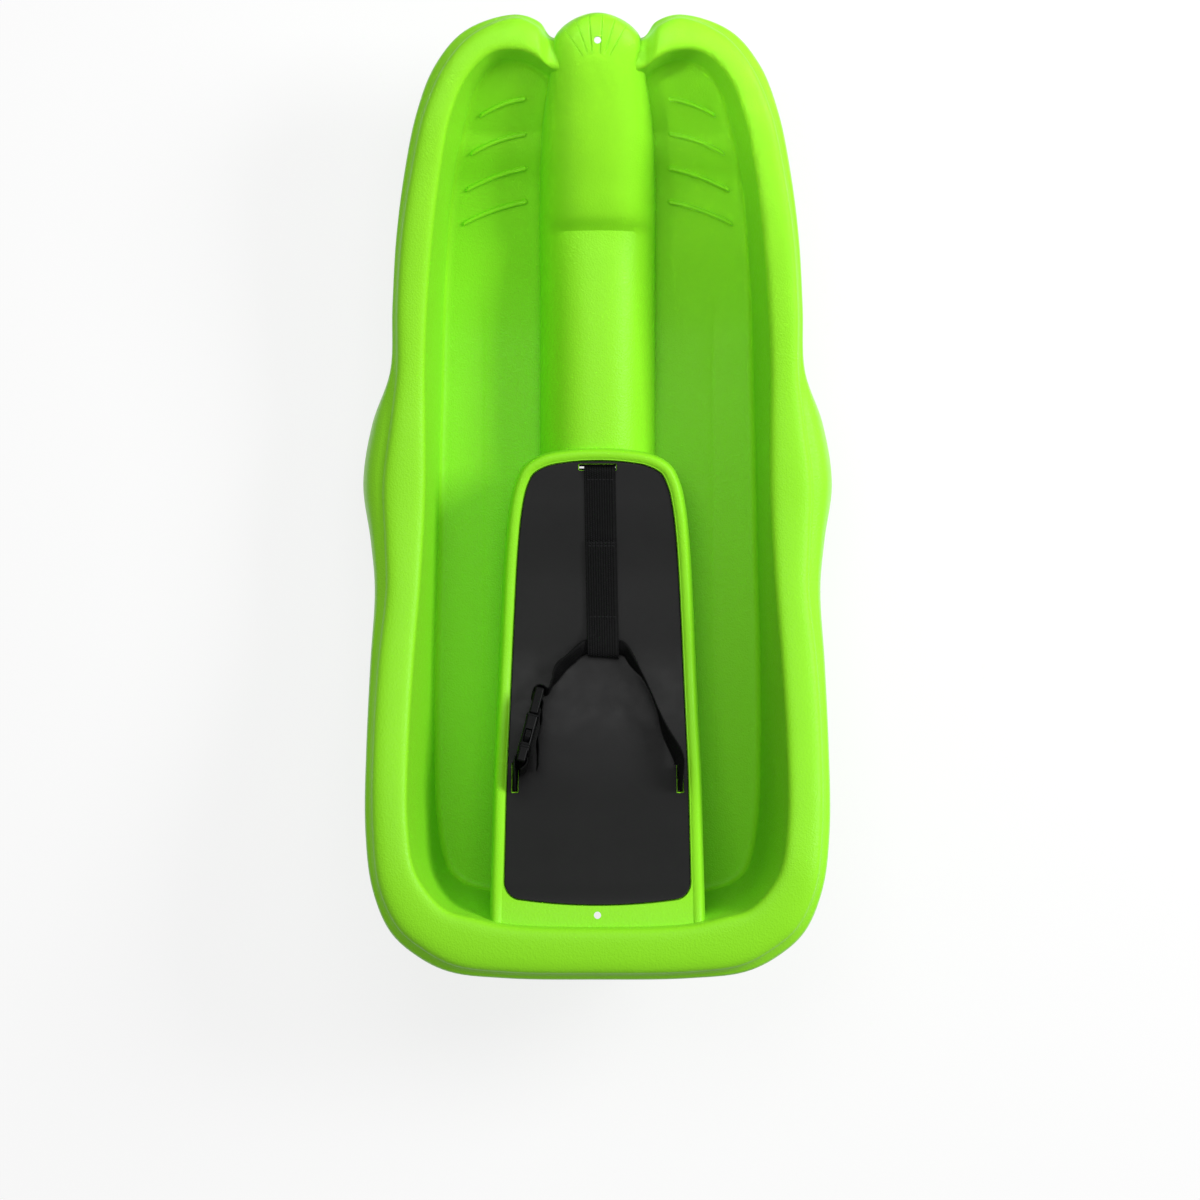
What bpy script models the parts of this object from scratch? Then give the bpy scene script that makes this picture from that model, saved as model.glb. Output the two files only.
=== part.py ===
"""Baby sled: a moulded hull with a seat panel, a webbing harness and a side release buckle.

Metres, +Z up. The sled lies on its runners, its nose points along +Y, and the origin is on the
ground under its middle. Run it with: blender --background --python part.py
"""

import math

import bmesh
import bpy
from mathutils import Matrix, Vector

# The whole sled. Its plan was measured on one of the measured length and width, and follows these two.
SLED_LENGTH = 0.8850
SLED_WIDTH = 0.4426
MEASURED_LENGTH = 0.8850
MEASURED_WIDTH = 0.4426
LONG = SLED_LENGTH / MEASURED_LENGTH
WIDE = SLED_WIDTH / MEASURED_WIDTH


def lengthened(rows):
    """Rows that start with y, for the sled's own length."""
    return tuple((y * LONG, *rest) for y, *rest in rows)


def spread(rows):
    """Rows that start with x and y, for the sled's own width and length."""
    return tuple((x * WIDE, y * LONG, *rest) for x, y, *rest in rows)


# Hull: the moulded skin
WALL = 0.0032
RUNNER_DEPTH = 0.0015
RUNNER_WIDTH = 0.014
RUNNER_X = 0.113 * WIDE
RUNNER_FRONT_Y = 0.245 * LONG
RUNNER_REAR_Y = -0.345 * LONG
SKIRT_DEPTH = 0.022
BULGE_SKIRT_EXTRA = 0.014
FLOOR_FILLET = 0.008
FLOOR_TOP = RUNNER_DEPTH + WALL
# Height of the rim's crest along the sled, as (y, z)
RIM_HEIGHTS = lengthened((
    (-0.45, 0.208), (-0.36, 0.205), (-0.28, 0.190), (-0.20, 0.165), (-0.10, 0.139), (0.00, 0.127),
    (0.08, 0.127), (0.18, 0.138), (0.28, 0.158), (0.36, 0.176), (0.45, 0.186),
))
# Height of the footwell floor where it climbs to the nose, as (y, rise over the flat floor)
FLOOR_RISE = lengthened((
    (0.11, 0.0), (0.16, 0.002), (0.20, 0.009), (0.25, 0.026), (0.30, 0.050), (0.345, 0.083),
))
NOSE_SLOPE = 0.90 / LONG
# Plan of the hull, right half, from the middle of the rear round to the middle of the nose.
# Each station gives the bottom of the skirt, the outer edge of the rim, the top and the bottom of
# the footwell wall, each as (x, y).
STATIONS = tuple(spread(row) for row in (
    ((0.000, -0.4425), (0.000, -0.4352), (0.000, -0.3940), (0.000, -0.3860)),
    ((0.085, -0.4413), (0.082, -0.4338), (0.080, -0.3915), (0.078, -0.3840)),
    ((0.1369, -0.4352), (0.131, -0.4275), (0.1114, -0.3850), (0.1070, -0.3785)),
    ((0.1680, -0.4195), (0.1605, -0.4120), (0.1370, -0.3775), (0.1300, -0.3715)),
    ((0.1900, -0.3985), (0.1820, -0.3930), (0.1535, -0.3625), (0.1445, -0.3585)),
    ((0.2060, -0.3600), (0.1985, -0.3580), (0.1665, -0.3400), (0.1515, -0.3380)),
    ((0.2130, -0.3080), (0.2052, -0.3080), (0.1728, -0.3000), (0.1568, -0.2990)),
    ((0.2138, -0.2350), (0.2065, -0.2350), (0.1735, -0.2350), (0.1585, -0.2350)),
    ((0.2118, -0.1550), (0.2035, -0.1550), (0.1700, -0.1550), (0.1580, -0.1550)),
    ((0.2090, -0.0850), (0.1970, -0.0850), (0.1650, -0.0850), (0.1562, -0.0850)),
    ((0.2137, -0.0394), (0.1985, -0.0394), (0.1626, -0.0394), (0.1550, -0.0394)),
    ((0.2213, 0.0130), (0.2003, 0.0130), (0.1606, 0.0130), (0.1540, 0.0130)),
    ((0.2125, 0.0710), (0.1932, 0.0710), (0.1606, 0.0710), (0.1528, 0.0710)),
    ((0.1950, 0.1180), (0.1878, 0.1180), (0.1608, 0.1180), (0.1515, 0.1180)),
    ((0.1922, 0.1780), (0.1870, 0.1780), (0.1582, 0.1780), (0.1500, 0.1780)),
    ((0.1880, 0.2400), (0.1822, 0.2400), (0.1528, 0.2400), (0.1456, 0.2400)),
    ((0.1795, 0.3000), (0.1722, 0.3000), (0.1450, 0.2980), (0.1392, 0.2960)),
    ((0.1672, 0.3550), (0.1592, 0.3540), (0.1345, 0.3490), (0.1265, 0.3460)),
    ((0.1500, 0.3977), (0.1400, 0.3950), (0.1190, 0.3840), (0.1140, 0.3810)),
    ((0.1229, 0.4280), (0.1145, 0.4225), (0.0960, 0.4050), (0.0925, 0.4010)),
    ((0.0760, 0.4425), (0.0760, 0.4375), (0.0690, 0.4108), (0.0680, 0.4070)),
    ((0.0530, 0.4362), (0.0565, 0.4310), (0.0520, 0.4050), (0.0510, 0.4010)),
    ((0.0445, 0.4265), (0.0465, 0.4225), (0.0440, 0.3980), (0.0430, 0.3940)),
    ((0.0000, 0.4225), (0.0000, 0.4185), (0.0000, 0.3940), (0.0000, 0.3900)),
))
# Section of the rim between the skirt and the footwell wall: how far across it, from its outer edge
# (0) to the wall's top (1) or out to the skirt (-1), and how high over its crest line
RIM_SECTION = ((-0.30, -0.0065), (0.06, -0.0022), (0.32, 0.0012), (0.68, 0.0008), (0.93, -0.0020),
               (1.00, -0.0065))
SKIRT_BEND = (0.78, 0.34, 0.0040)
FLARE_BEGINS = 0.009
FLARE_WHOLE = 0.020
# The rim dips into the cleft beside the nose over the last stations.
CLEFT_DIP = ((20, 0.0), (21, 0.004), (22, 0.012), (23, 0.014))
STEPS_PER_STATION = 2

# Tunnel between the footwells and the nose dome over it, as (y, half-width, crest height)
TUNNEL = tuple((y * LONG, w * WIDE, z) for y, w, z in (
    (-0.020, 0.0560, 0.0800), (0.060, 0.0560, 0.0840), (0.150, 0.0560, 0.0850), (0.235, 0.0560, 0.0870),
    (0.2535, 0.0560, 0.0885), (0.2620, 0.0560, 0.1000), (0.300, 0.0550, 0.1230), (0.342, 0.0530, 0.1480),
    (0.370, 0.0500, 0.1630), (0.397, 0.0445, 0.1760), (0.4190, 0.0400, 0.1850), (0.4270, 0.0330, 0.1870),
    (0.4345, 0.0258, 0.1865), (0.4390, 0.0185, 0.1845), (0.4415, 0.0110, 0.1815), (0.4425, 0.0050, 0.1780),
))
TUNNEL_SQUARENESS = 2.5
NOSE_SKIRT_Z = 0.160
NOSE_SKIRT_FROM_Y = 0.412 * LONG
NOSE_SKIRT_RUN = 0.025
NOSE_PULL_FROM_Y = 0.410 * LONG
NOSE_PULL_RUN = 0.020
TUNNEL_SIDE_DROP = 0.050
NARROWEST_HOLLOW = 0.003
NOSE_HOLE_Y = 0.4160 * LONG
NOSE_HOLE_DIAMETER = 0.0065

# Seat box between the rear halves of the footwells
LIP_HALF_PLAN = spread(((0.000, 0.0469), (0.030, 0.0452), (0.052, 0.0408), (0.0685, 0.0310),
                        (0.0770, 0.0150), (0.0822, -0.0080), (0.0865, -0.0485), (0.0905, -0.1200),
                        (0.0935, -0.1900), (0.0960, -0.2600), (0.0965, -0.3300), (0.0970, -0.4000)))
LIP_STEPS = 4
SEAT_BOX_REAR_Y = -0.3960 * LONG
SEAT_HEIGHTS = lengthened((
    (-0.45, 0.196), (-0.40, 0.196), (-0.378, 0.190), (-0.35, 0.172), (-0.30, 0.138), (-0.25, 0.108),
    (-0.20, 0.088), (-0.14, 0.079), (-0.08, 0.080), (0.00, 0.088), (0.06, 0.093),
))
SEAT_BOX_DRAFT = 0.0042
LIP_WIDTH = 0.0102
PANEL_GAP = 0.0009
PANEL_THICKNESS = 0.0040
PANEL_BELOW_LIP = 0.0040
PANEL_REAR_Y = -0.3745 * LONG
PANEL_CORNER_RADIUS = 0.012
PANEL_EDGE_INSET = 0.0010
PANEL_EDGE_DROP = 0.0012
DECK_HOLE_Y = -0.3835 * LONG
DECK_HOLE_DIAMETER = 0.0065
SEAT_GAP = 0.0003
DECK_STEP_FROM = 0.002
DECK_STEP_RUN = 0.003
HOLLOW_UNDER_RIM = 0.016
DRAFT_FROM_MIDDLE = 0.020

# How low and how high the cutters reach, past whatever they cut
BELOW_GROUND = -0.03
ABOVE_RIM = 0.26
UNDER_PANEL = 0.03
OVER_PANEL = 0.20
UNDER_DECK = 0.10

# Section of the seat box's shoulder up to its lip: (inward, below the lip's crest)
LIP_SECTION = ((-0.0016, 0.0120), (0.0000, 0.0045), (0.0013, 0.0014), (0.0040, 0.0000),
               (0.0075, 0.0002))

# Foot grips moulded on the climbing floors
GRIP_COUNT = 4
GRIP_FIRST_Y = 0.3737 * LONG
GRIP_PITCH = 0.0292 * LONG
GRIP_INNER_X = 0.0667 * WIDE
GRIP_FROM_WALL = 0.0125
GRIP_SWEEP = 0.33
GRIP_ARCH = 0.0028
GRIP_RADIUS = 0.0022
GRIP_SINK = 0.0002
GRIP_WALL_BEHIND = 0.018
CHANNEL_SIDE = 0.0020
CHANNEL_FLARE = 0.0040
CHANNEL_SPARE = 0.0001

# Webbing, and the slots for it through the panel; the hull's own slots are narrower all round
WEB_THICKNESS = 0.0015
CROTCH_WEB_WIDTH = 0.0300
LAP_WEB_WIDTH = 0.0250
SLOT_WIDTH = 0.0070
CROTCH_SLOT_Y = 0.0300 * LONG
CROTCH_SLOT_ROOM = 0.0065
CROTCH_SLOT = (CROTCH_WEB_WIDTH + CROTCH_SLOT_ROOM, SLOT_WIDTH)
LAP_SLOT_X = 0.0775 * WIDE
LAP_SLOT_Y = -0.2625 * LONG
LAP_SLOT_ROOM = 0.0030
LAP_SLOT = (SLOT_WIDTH, LAP_WEB_WIDTH + LAP_SLOT_ROOM)
HULL_SLOT_INSET = 0.0008

# Route of the webbing
CROTCH_FRONT_YS = (0.0180 * LONG, 0.0)
CROTCH_SEAM_Y = -0.0400 * LONG
CROTCH_MIDDLE_Y = -0.0780 * LONG
CROTCH_LOOP_Y = -0.1170 * LONG
CROTCH_BEND_Y = -0.1340 * LONG
CROTCH_END_Y = -0.1500 * LONG
CROTCH_DRIFT = 0.0050
LOOP_ROOM = 0.0056
FOLDED_AWAY = 0.46
WEB_BEND = 0.0150
SLOT_TURNS = (0, 35, 70, 100)
# The lap strap on its edge, from the right slot to the crotch strap's loop and from the loop to the
# plug, as (x, y, how far it sinks towards the panel, how far it is folded)
LAP_RUN_RIGHT = spread(((0.0640, -0.2200, 0.0, 0.0), (0.0570, -0.1990, 0.0, 0.0), (0.0490, -0.1800, 0.0, 0.0),
                        (0.0410, -0.1650, 0.0, 0.15), (0.0325, -0.1530, 0.0035, 0.7)))
LAP_RUN_LEFT = spread(((-0.0240, -0.1510, 0.0035, 0.7), (-0.0315, -0.1585, 0.0, 0.15),
                       (-0.0390, -0.1675, 0.0, 0.0)))
LAP_IN_LOOP = (0.0195, 0.0045, -0.0100)
LAP_AT_LOOP = (0.0265, -0.0170)
LOOP_DIP = (0.0035, 0.0030)
LEANING = (0.0, 0.40, 0.90)
NEARLY_FLAT = (0.0, 0.85, 0.50)
# The strap's free end beside the buckle, as (sideways from the buckle, behind the middle of its end bar)
LAP_TAIL = ((0.0072, 0.0180), (0.0098, 0.0290), (0.0100, 0.0430), (0.0138, 0.0560), (0.0165, 0.0690))
HEM_THICKNESS = 0.0066
HEM_LENGTH = 0.0090

# Keepers that hold the webbing's ends under the seat
KEEPER_THICKNESS = 0.0030
KEEPER_MARGIN = 0.0065
KEEPER_CORNER = 0.0030
KEEPER_SPARE = 0.0001

# Side release buckle, standing on its edge: its plan line from the rear to the front
BUCKLE_REAR, BUCKLE_FRONT = spread(((-0.0728, -0.2505), (-0.0552, -0.1835)))
BUCKLE_LIFT = 0.0172
BUCKLE_WIDTH = 0.0320
BUCKLE_THICKNESS = 0.0110
BAR_THICKNESS = 0.0056
END_BAR = 0.0045
STRAP_SLOT = 0.0060
SOCKET_FLOOR = 0.0020
RECEPTACLE_LENGTH = 0.0480
SOCKET_THICKNESS = 0.0066
SOCKET_WIDTH = 0.0236
WINDOW = (0.0185, 0.0140)
PLUG_BASE = 0.0065
MIDDLE_BAR = 0.0035
TONGUE = (0.0052, 0.0044, 0.0200)
ARM_WIDTH = 0.0042
ARM_THICKNESS = 0.0052
ARM_GAP = 0.0006
CATCH_LENGTH = 0.0120
CATCH_PROUD = 0.0005
CATCH_LEAD = 0.0050
SLOT_SPARE = 0.0007
MOULDED_GAP = 0.0004
CASE_ROUNDING = 0.0022
BAR_ROUNDING = 0.0012
PLUG_ROUNDING = 0.0010
TONGUE_ROUNDING = 0.0006
FUSED_DEPTH = 0.0040
PAST = 0.0200

LIME = (0.27, 0.80, 0.035, 1.0)
CHARCOAL = (0.030, 0.030, 0.033, 1.0)
BLACK_WEB = (0.010, 0.010, 0.011, 1.0)
BLACK_PLASTIC = (0.012, 0.012, 0.013, 1.0)


def clear_scene():
    for thing in list(bpy.data.objects):
        bpy.data.objects.remove(thing, do_unlink=True)


def finish(name, colour, roughness):
    """A Principled material with one colour and one roughness."""
    made = bpy.data.materials.new(name)
    made.use_nodes = True
    shader = made.node_tree.nodes["Principled BSDF"]
    shader.inputs["Base Color"].default_value = colour
    shader.inputs["Roughness"].default_value = roughness
    made.diffuse_color = colour
    return made


def mesh_object(name, points, faces, material=None, cutter=False):
    """An object from points and faces, with its normals made to point out."""
    shape = bmesh.new()
    corners = [shape.verts.new(p) for p in points]
    for face in faces:
        shape.faces.new([corners[i] for i in face])
    bmesh.ops.recalc_face_normals(shape, faces=shape.faces)
    mesh = bpy.data.meshes.new(name)
    shape.to_mesh(mesh)
    shape.free()
    made = bpy.data.objects.new(name, mesh)
    bpy.context.scene.collection.objects.link(made)
    if material:
        mesh.materials.append(material)
    if cutter:
        made.hide_render = True
        made.display_type = "WIRE"
    return made


def combine(target, other, operation):
    """A live Boolean of one object on another."""
    step = target.modifiers.new(f"{operation.lower()} {other.name}", "BOOLEAN")
    step.operation = operation
    step.object = other
    step.solver = "EXACT"


def along(table, y):
    """The value at y of a smooth curve through (y, value) pairs, level at both ends."""
    if y <= table[0][0]:
        return table[0][1]
    if y >= table[-1][0]:
        return table[-1][1]
    k = next(i for i in range(len(table) - 1) if y <= table[i + 1][0])

    def slope(i):
        if i in (0, len(table) - 1):
            return 0.0
        before = (table[i][1] - table[i - 1][1]) / (table[i][0] - table[i - 1][0])
        after = (table[i + 1][1] - table[i][1]) / (table[i + 1][0] - table[i][0])
        return 0.0 if before * after <= 0 else 2 * before * after / (before + after)

    width = table[k + 1][0] - table[k][0]
    u = (y - table[k][0]) / width
    rise = table[k + 1][1] - table[k][1]
    return (table[k][1] + rise * (3 - 2 * u) * u * u + width * slope(k) * u * (1 - u) ** 2
            - width * slope(k + 1) * u * u * (1 - u))


def smooth_line(points, steps, mirrored_ends=False):
    """Points on a Catmull-Rom curve through the given ones, whose steps follow their spacing."""
    points = [Vector(p) for p in points]
    if mirrored_ends:
        flip = Vector((-1, 1, 1)[: len(points[0])])
        before, after = points[1] * flip, points[-2] * flip
    else:
        before, after = 2 * points[0] - points[1], 2 * points[-1] - points[-2]
    line = [before, *points, after]
    found = []
    for k in range(1, len(line) - 2):
        p0, p1, p2, p3 = line[k - 1 : k + 3]
        d1, d2, d3 = (max((b - a).length, 1e-6) ** 0.5 for a, b in ((p0, p1), (p1, p2), (p2, p3)))
        m1 = (p2 - p1) + d2 * ((p1 - p0) / d1 - (p2 - p0) / (d1 + d2))
        m2 = (p2 - p1) + d2 * ((p3 - p2) / d3 - (p3 - p1) / (d2 + d3))
        for i in range(steps):
            u = i / steps
            found.append((2 * p1 - 2 * p2 + m1 + m2) * u ** 3 + (3 * p2 - 3 * p1 - 2 * m1 - m2) * u * u
                         + m1 * u + p1)
    return [*found, points[-1]]


def rim_height(y):
    return along(RIM_HEIGHTS, y)


def floor_height(y):
    """Top of the footwell floor: flat on its runners, then climbing to the nose."""
    last_y, last_rise = FLOOR_RISE[-1]
    if y > last_y:
        return FLOOR_TOP + last_rise + NOSE_SLOPE * (y - last_y)
    return FLOOR_TOP + along(FLOOR_RISE, y)


def seat_height(y):
    """Crest of the lip round the seat panel."""
    return along(SEAT_HEIGHTS, y)


def panel_top(y):
    return seat_height(y) - PANEL_BELOW_LIP


def recess_floor(y):
    return panel_top(y) - PANEL_THICKNESS - SEAT_GAP


def bridge(loop_count, length, closed=True):
    """Faces between rings of equal length whose points follow one another."""
    faces = []
    for ring in range(loop_count - 1):
        for i in range(length if closed else length - 1):
            j = (i + 1) % length
            a, b = ring * length, (ring + 1) * length
            faces.append((a + i, a + j, b + j, b + i))
    return faces


def tub():
    """The skin without its middle: skirt, rim, walls and floor, one surface with a wall."""
    lines = [smooth_line([row[k] for row in STATIONS], STEPS_PER_STATION, mirrored_ends=True)
             for k in range(4)]
    half = len(lines[0])
    dips = [along(tuple((s * STEPS_PER_STATION, d) for s, d in CLEFT_DIP), i) for i in range(half)]

    def rings_at(i):
        skirt, outer, top, foot = (Vector(line[i]) for line in lines)
        rim = rim_height(outer.y) - dips[i]
        low = floor_height(foot.y)
        flare = (skirt - outer).length
        bulge = max(0.0, min(1.0, (flare - FLARE_BEGINS) / (FLARE_WHOLE - FLARE_BEGINS)))
        skirt_z = rim - SKIRT_DEPTH - BULGE_SKIRT_EXTRA * bulge
        inward = (foot - top).normalized()
        out_share, down_share, down = SKIRT_BEND
        section = [(*outer.lerp(top if share > 0 else skirt, abs(share)), rim + height)
                   for share, height in RIM_SECTION]
        return (
            (*skirt, skirt_z),
            (*outer.lerp(skirt, out_share), rim - down_share * (rim - skirt_z) - down),
            *section,
            (*top.lerp(foot, 0.9), low + 0.1 * (rim - low)),
            (*(foot + inward * 0.0012), low + 0.30 * FLOOR_FILLET),
            (*(foot + inward * 0.85 * FLOOR_FILLET), low),
        )

    right = [rings_at(i) for i in range(half)]
    rings = len(right[0])
    whole = right + [tuple((-x, y, z) for x, y, z in right[i]) for i in range(half - 2, 0, -1)]
    around = len(whole)
    points = [whole[i][k] for k in range(rings) for i in range(around)]
    faces = bridge(rings, around)
    inner = (rings - 1) * around

    def partner(i):
        return (around - i) % around

    # The floor: one flat face behind, one flat slope at the nose, and strips where it bends.
    inside = [Vector(right[i][-1]) for i in range(half)]
    flat_end = max(i for i in range(half) if inside[i].y <= FLOOR_RISE[0][0])
    slope_start = min(i for i in range(half) if inside[i].y >= FLOOR_RISE[-1][0])
    across = 4
    columns = {}
    for i in range(flat_end, slope_start + 1):
        x, y, z = inside[i]
        row = [inner + i]
        for step in range(1, 2 * across):
            points.append((x * (1 - step / across), y, floor_height(y)))
            row.append(len(points) - 1)
        columns[i] = [*row, inner + partner(i)]
    for i in range(flat_end, slope_start):
        for a in range(2 * across):
            faces.append((columns[i][a], columns[i + 1][a], columns[i + 1][a + 1], columns[i][a + 1]))
    rear = [inner + partner(i) for i in range(flat_end, 0, -1)] + [inner + i for i in range(flat_end)]
    faces.append([*rear, *columns[flat_end][:-1]])
    nose = [inner + i for i in range(slope_start + 1, half)]
    nose += [inner + partner(i) for i in range(half - 2, slope_start, -1)]
    faces.append([*nose, *reversed(columns[slope_start])])
    made = mesh_object("hull", points, faces, finish("lime polyethylene", LIME, 0.42))
    # The wall is added below the surface, so the flat floor, its largest face, has to look up.
    flat_floor = max(made.data.polygons, key=lambda face: face.area)
    if flat_floor.normal.z < 0:
        made.data.flip_normals()
    shell = made.modifiers.new("wall", "SOLIDIFY")
    shell.thickness = WALL
    shell.offset = -1
    shell.use_even_offset = True
    shell.use_quality_normals = True
    return made


def tunnel_section(y, half_width, crest, base, steps=9):
    """One arch of the tunnel: a squarish half round over a base."""
    section = []
    for k in range(steps * 2 + 1):
        turn = math.pi * k / (2 * steps)
        c, s = math.cos(turn), math.sin(turn)
        power = 2 / TUNNEL_SQUARENESS
        x = math.copysign(abs(c) ** power, c) * half_width
        section.append((x, y, base + max(s, 0.0) ** power * (crest - base)))
    return section


def tunnel_solid(name, inset, drop):
    """The tunnel's outside, or with an inset the hollow under it."""
    stations = []
    for (y0, w0, z0), (y1, w1, z1) in zip(TUNNEL, TUNNEL[1:], strict=False):
        pieces = 2 if y1 - y0 > 0.05 else 1
        stations += [(y0 + (y1 - y0) * i / pieces, w0 + (w1 - w0) * i / pieces,
                      z0 + (z1 - z0) * i / pieces) for i in range(pieces)]
    stations.append(TUNNEL[-1])
    points = []
    rings = 0
    for y, half_width, crest in stations:
        if half_width - inset < NARROWEST_HOLLOW:
            break
        shift = inset * min(1.0, max(0.0, (y - NOSE_PULL_FROM_Y) / NOSE_PULL_RUN))
        turn_y = NOSE_SKIRT_FROM_Y - NOSE_SKIRT_RUN
        climb = min(1.0, max(0.0, (y - turn_y) / NOSE_SKIRT_RUN))
        floor = floor_height(min(y, turn_y)) - WALL / 2
        base = floor + (NOSE_SKIRT_Z - floor) * climb
        arch = tunnel_section(y - shift, half_width - inset, crest - inset, base)
        low = base - drop
        ring = [(arch[0][0], arch[0][1], low), *arch, (arch[-1][0], arch[-1][1], low)]
        points += ring if drop else arch
        rings += 1
    length = len(points) // rings
    faces = bridge(rings, length)
    faces.append(list(range(length)))
    faces.append([(rings - 1) * length + i for i in reversed(range(length))])
    return mesh_object(name, points, faces, cutter=True)


def inset_line(line, distance):
    """A plan line moved inward, square to itself; the line runs from the front to the rear."""
    moved = []
    for i, here in enumerate(line):
        before, after = line[max(i - 1, 0)], line[min(i + 1, len(line) - 1)]
        if i == 0:
            before = Vector((-after.x, after.y))
        run = (after - before).normalized()
        moved.append(here + Vector((run.y, -run.x)) * distance)
    return moved


def lip_line():
    """Right half of the lip's outer edge, from the front to the rear."""
    ahead = (Vector((-LIP_HALF_PLAN[1][0], LIP_HALF_PLAN[1][1])),)
    line = smooth_line([*ahead, *LIP_HALF_PLAN], LIP_STEPS)[LIP_STEPS:]
    return [p for p in line if p.y > SEAT_BOX_REAR_Y]


def panel_outline(grow=0.0):
    """Right half of the seat panel's edge, with its round rear corner, from front to rear."""
    edge = inset_line(lip_line(), LIP_WIDTH + PANEL_GAP - grow)
    rear = PANEL_REAR_Y - grow
    radius = PANEL_CORNER_RADIUS + grow
    side = [p for p in edge if p.y > rear + radius + 0.004]
    turn_x = side[-1].x
    centre = Vector((turn_x - radius, rear + radius))
    corner = [centre + radius * Vector((math.cos(a), -math.sin(a)))
              for a in (math.pi / 2 * k / 5 for k in range(6))]
    return [*side, *corner]


def half_filled(name, rings, fill_first, fill_last, material=None, cutter=False):
    """A closed solid from half rings in plan, mirrored about x = 0, whose end rings are filled.

    Each ring is a list of (x, y, z), from the front centre to the straight rear edge's corner.
    """
    half = len(rings[0])
    around = 2 * half - 1
    points = []
    for ring in rings:
        points += list(ring) + [(-x, y, z) for x, y, z in ring[-1:0:-1]]
    faces = bridge(len(rings), around)
    for first, filled in ((0, fill_first), ((len(rings) - 1) * around, fill_last)):
        if filled == "flat":
            faces.append([first + i for i in range(around)])
            continue
        rows = []
        for i in range(1, half - 1):
            x, y, z = points[first + i]
            row = [first + i]
            for share in (0.5, 0.0, -0.5):
                points.append((x * share, y, z))
                row.append(len(points) - 1)
            rows.append([*row, first + around - i])
        for a, b in zip(rows, rows[1:], strict=False):
            faces += [(a[k], a[k + 1], b[k + 1], b[k]) for k in range(4)]
        faces.append([first, *rows[0]])
        faces.append([*rows[-1], first + around - half + 1, first + half - 1])
    return mesh_object(name, points, faces, material, cutter)


def seat_box():
    """Outside of the raised box between the footwells, under the seat panel and its lip."""
    base = FLOOR_TOP - 0.35 * WALL

    def ring(offset, height):
        moved = inset_line(lip_line(), offset)
        corner = Vector((moved[-1].x, SEAT_BOX_REAR_Y))
        return [(p.x, p.y, height(p.y)) for p in (*moved, corner)]

    rings = [ring(-SEAT_BOX_DRAFT, lambda y: base)]
    for inward, below in LIP_SECTION:
        rings.append(ring(inward, lambda y, below=below: seat_height(y) - below))
    return half_filled("seat box", rings, "flat", "bent", cutter=True)


def ceiling(y):
    """Top of the open space under the seat: it steps up behind the panel, under the deck."""
    behind = min(1.0, max(0.0, (PANEL_REAR_Y - DECK_STEP_FROM - y) / DECK_STEP_RUN))
    under_panel = recess_floor(y) - WALL
    return under_panel + (seat_height(y) - WALL - under_panel) * behind


def seat_box_hollow():
    """The open space under the seat, which runs on under the rear rim."""
    line = [p for p in inset_line(lip_line(), WALL) if p.y > PANEL_REAR_Y + DECK_STEP_FROM]
    step_y = PANEL_REAR_Y - DECK_STEP_FROM
    line += [Vector((line[-1].x, y)) for y in (step_y, step_y - DECK_STEP_RUN, SEAT_BOX_REAR_Y,
                                               SEAT_BOX_REAR_Y - HOLLOW_UNDER_RIM)]

    def ring(draft, height):
        return [(p.x + draft * min(1.0, p.x / DRAFT_FROM_MIDDLE), p.y, height(p.y)) for p in line]

    rings = [
        ring(SEAT_BOX_DRAFT, lambda y: BELOW_GROUND),
        ring(SEAT_BOX_DRAFT, lambda y: FLOOR_TOP - 0.7 * WALL),
        ring(0.0, ceiling),
    ]
    return half_filled("seat hollow", rings, "flat", "bent", cutter=True)


def recess():
    """What is cut from the seat box for the panel to lie in."""
    edge = panel_outline(PANEL_GAP)
    rings = [[(p.x, p.y, recess_floor(p.y)) for p in edge],
             [(p.x, p.y, ABOVE_RIM) for p in edge]]
    return half_filled("panel recess", rings, "bent", "flat", cutter=True)


def swept(name, centres, section, cutter=True, material=None):
    """A closed solid: the same section, a list of (x, z), round each centre along y."""
    points = [(c.x + x, c.y, c.z + z) for c in centres for x, z in section]
    length = len(section)
    faces = bridge(len(centres), length)
    faces.append(list(range(length)))
    faces.append([(len(centres) - 1) * length + i for i in reversed(range(length))])
    return mesh_object(name, points, faces, material, cutter)


def runner_line(side):
    count = 16
    ys = [RUNNER_REAR_Y + (RUNNER_FRONT_Y - RUNNER_REAR_Y) * i / count for i in range(count + 1)]
    return [Vector((side * RUNNER_X, y, floor_height(y))) for y in ys]


def runner(side):
    """The ridge under a footwell that the sled slides on."""
    half, foot = RUNNER_WIDTH / 2 + WALL / 2, RUNNER_WIDTH / 2
    low = -WALL - RUNNER_DEPTH
    section = ((-half, -WALL * 0.6), (-foot, low), (foot, low), (half, -WALL * 0.6))
    return swept(f"runner {side}", runner_line(side), section)


def runner_channel(side):
    """The shallow channel that the runner leaves in the footwell's floor."""
    foot, low = RUNNER_WIDTH / 2 - CHANNEL_SIDE, CHANNEL_SPARE - RUNNER_DEPTH
    wide = RUNNER_WIDTH / 2 + CHANNEL_FLARE
    line = runner_line(side)[1:-1]
    section = ((-wide, CHANNEL_FLARE), (-foot, low), (foot, low), (wide, CHANNEL_FLARE))
    return swept(f"channel {side}", line, section)


def foot_edge(y):
    """Half-width of the footwell floor at y, on the climbing part."""
    line = smooth_line([row[3] for row in STATIONS[12:20]], 4)
    near = min(line, key=lambda p: abs(p.y - y))
    return near.x


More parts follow.
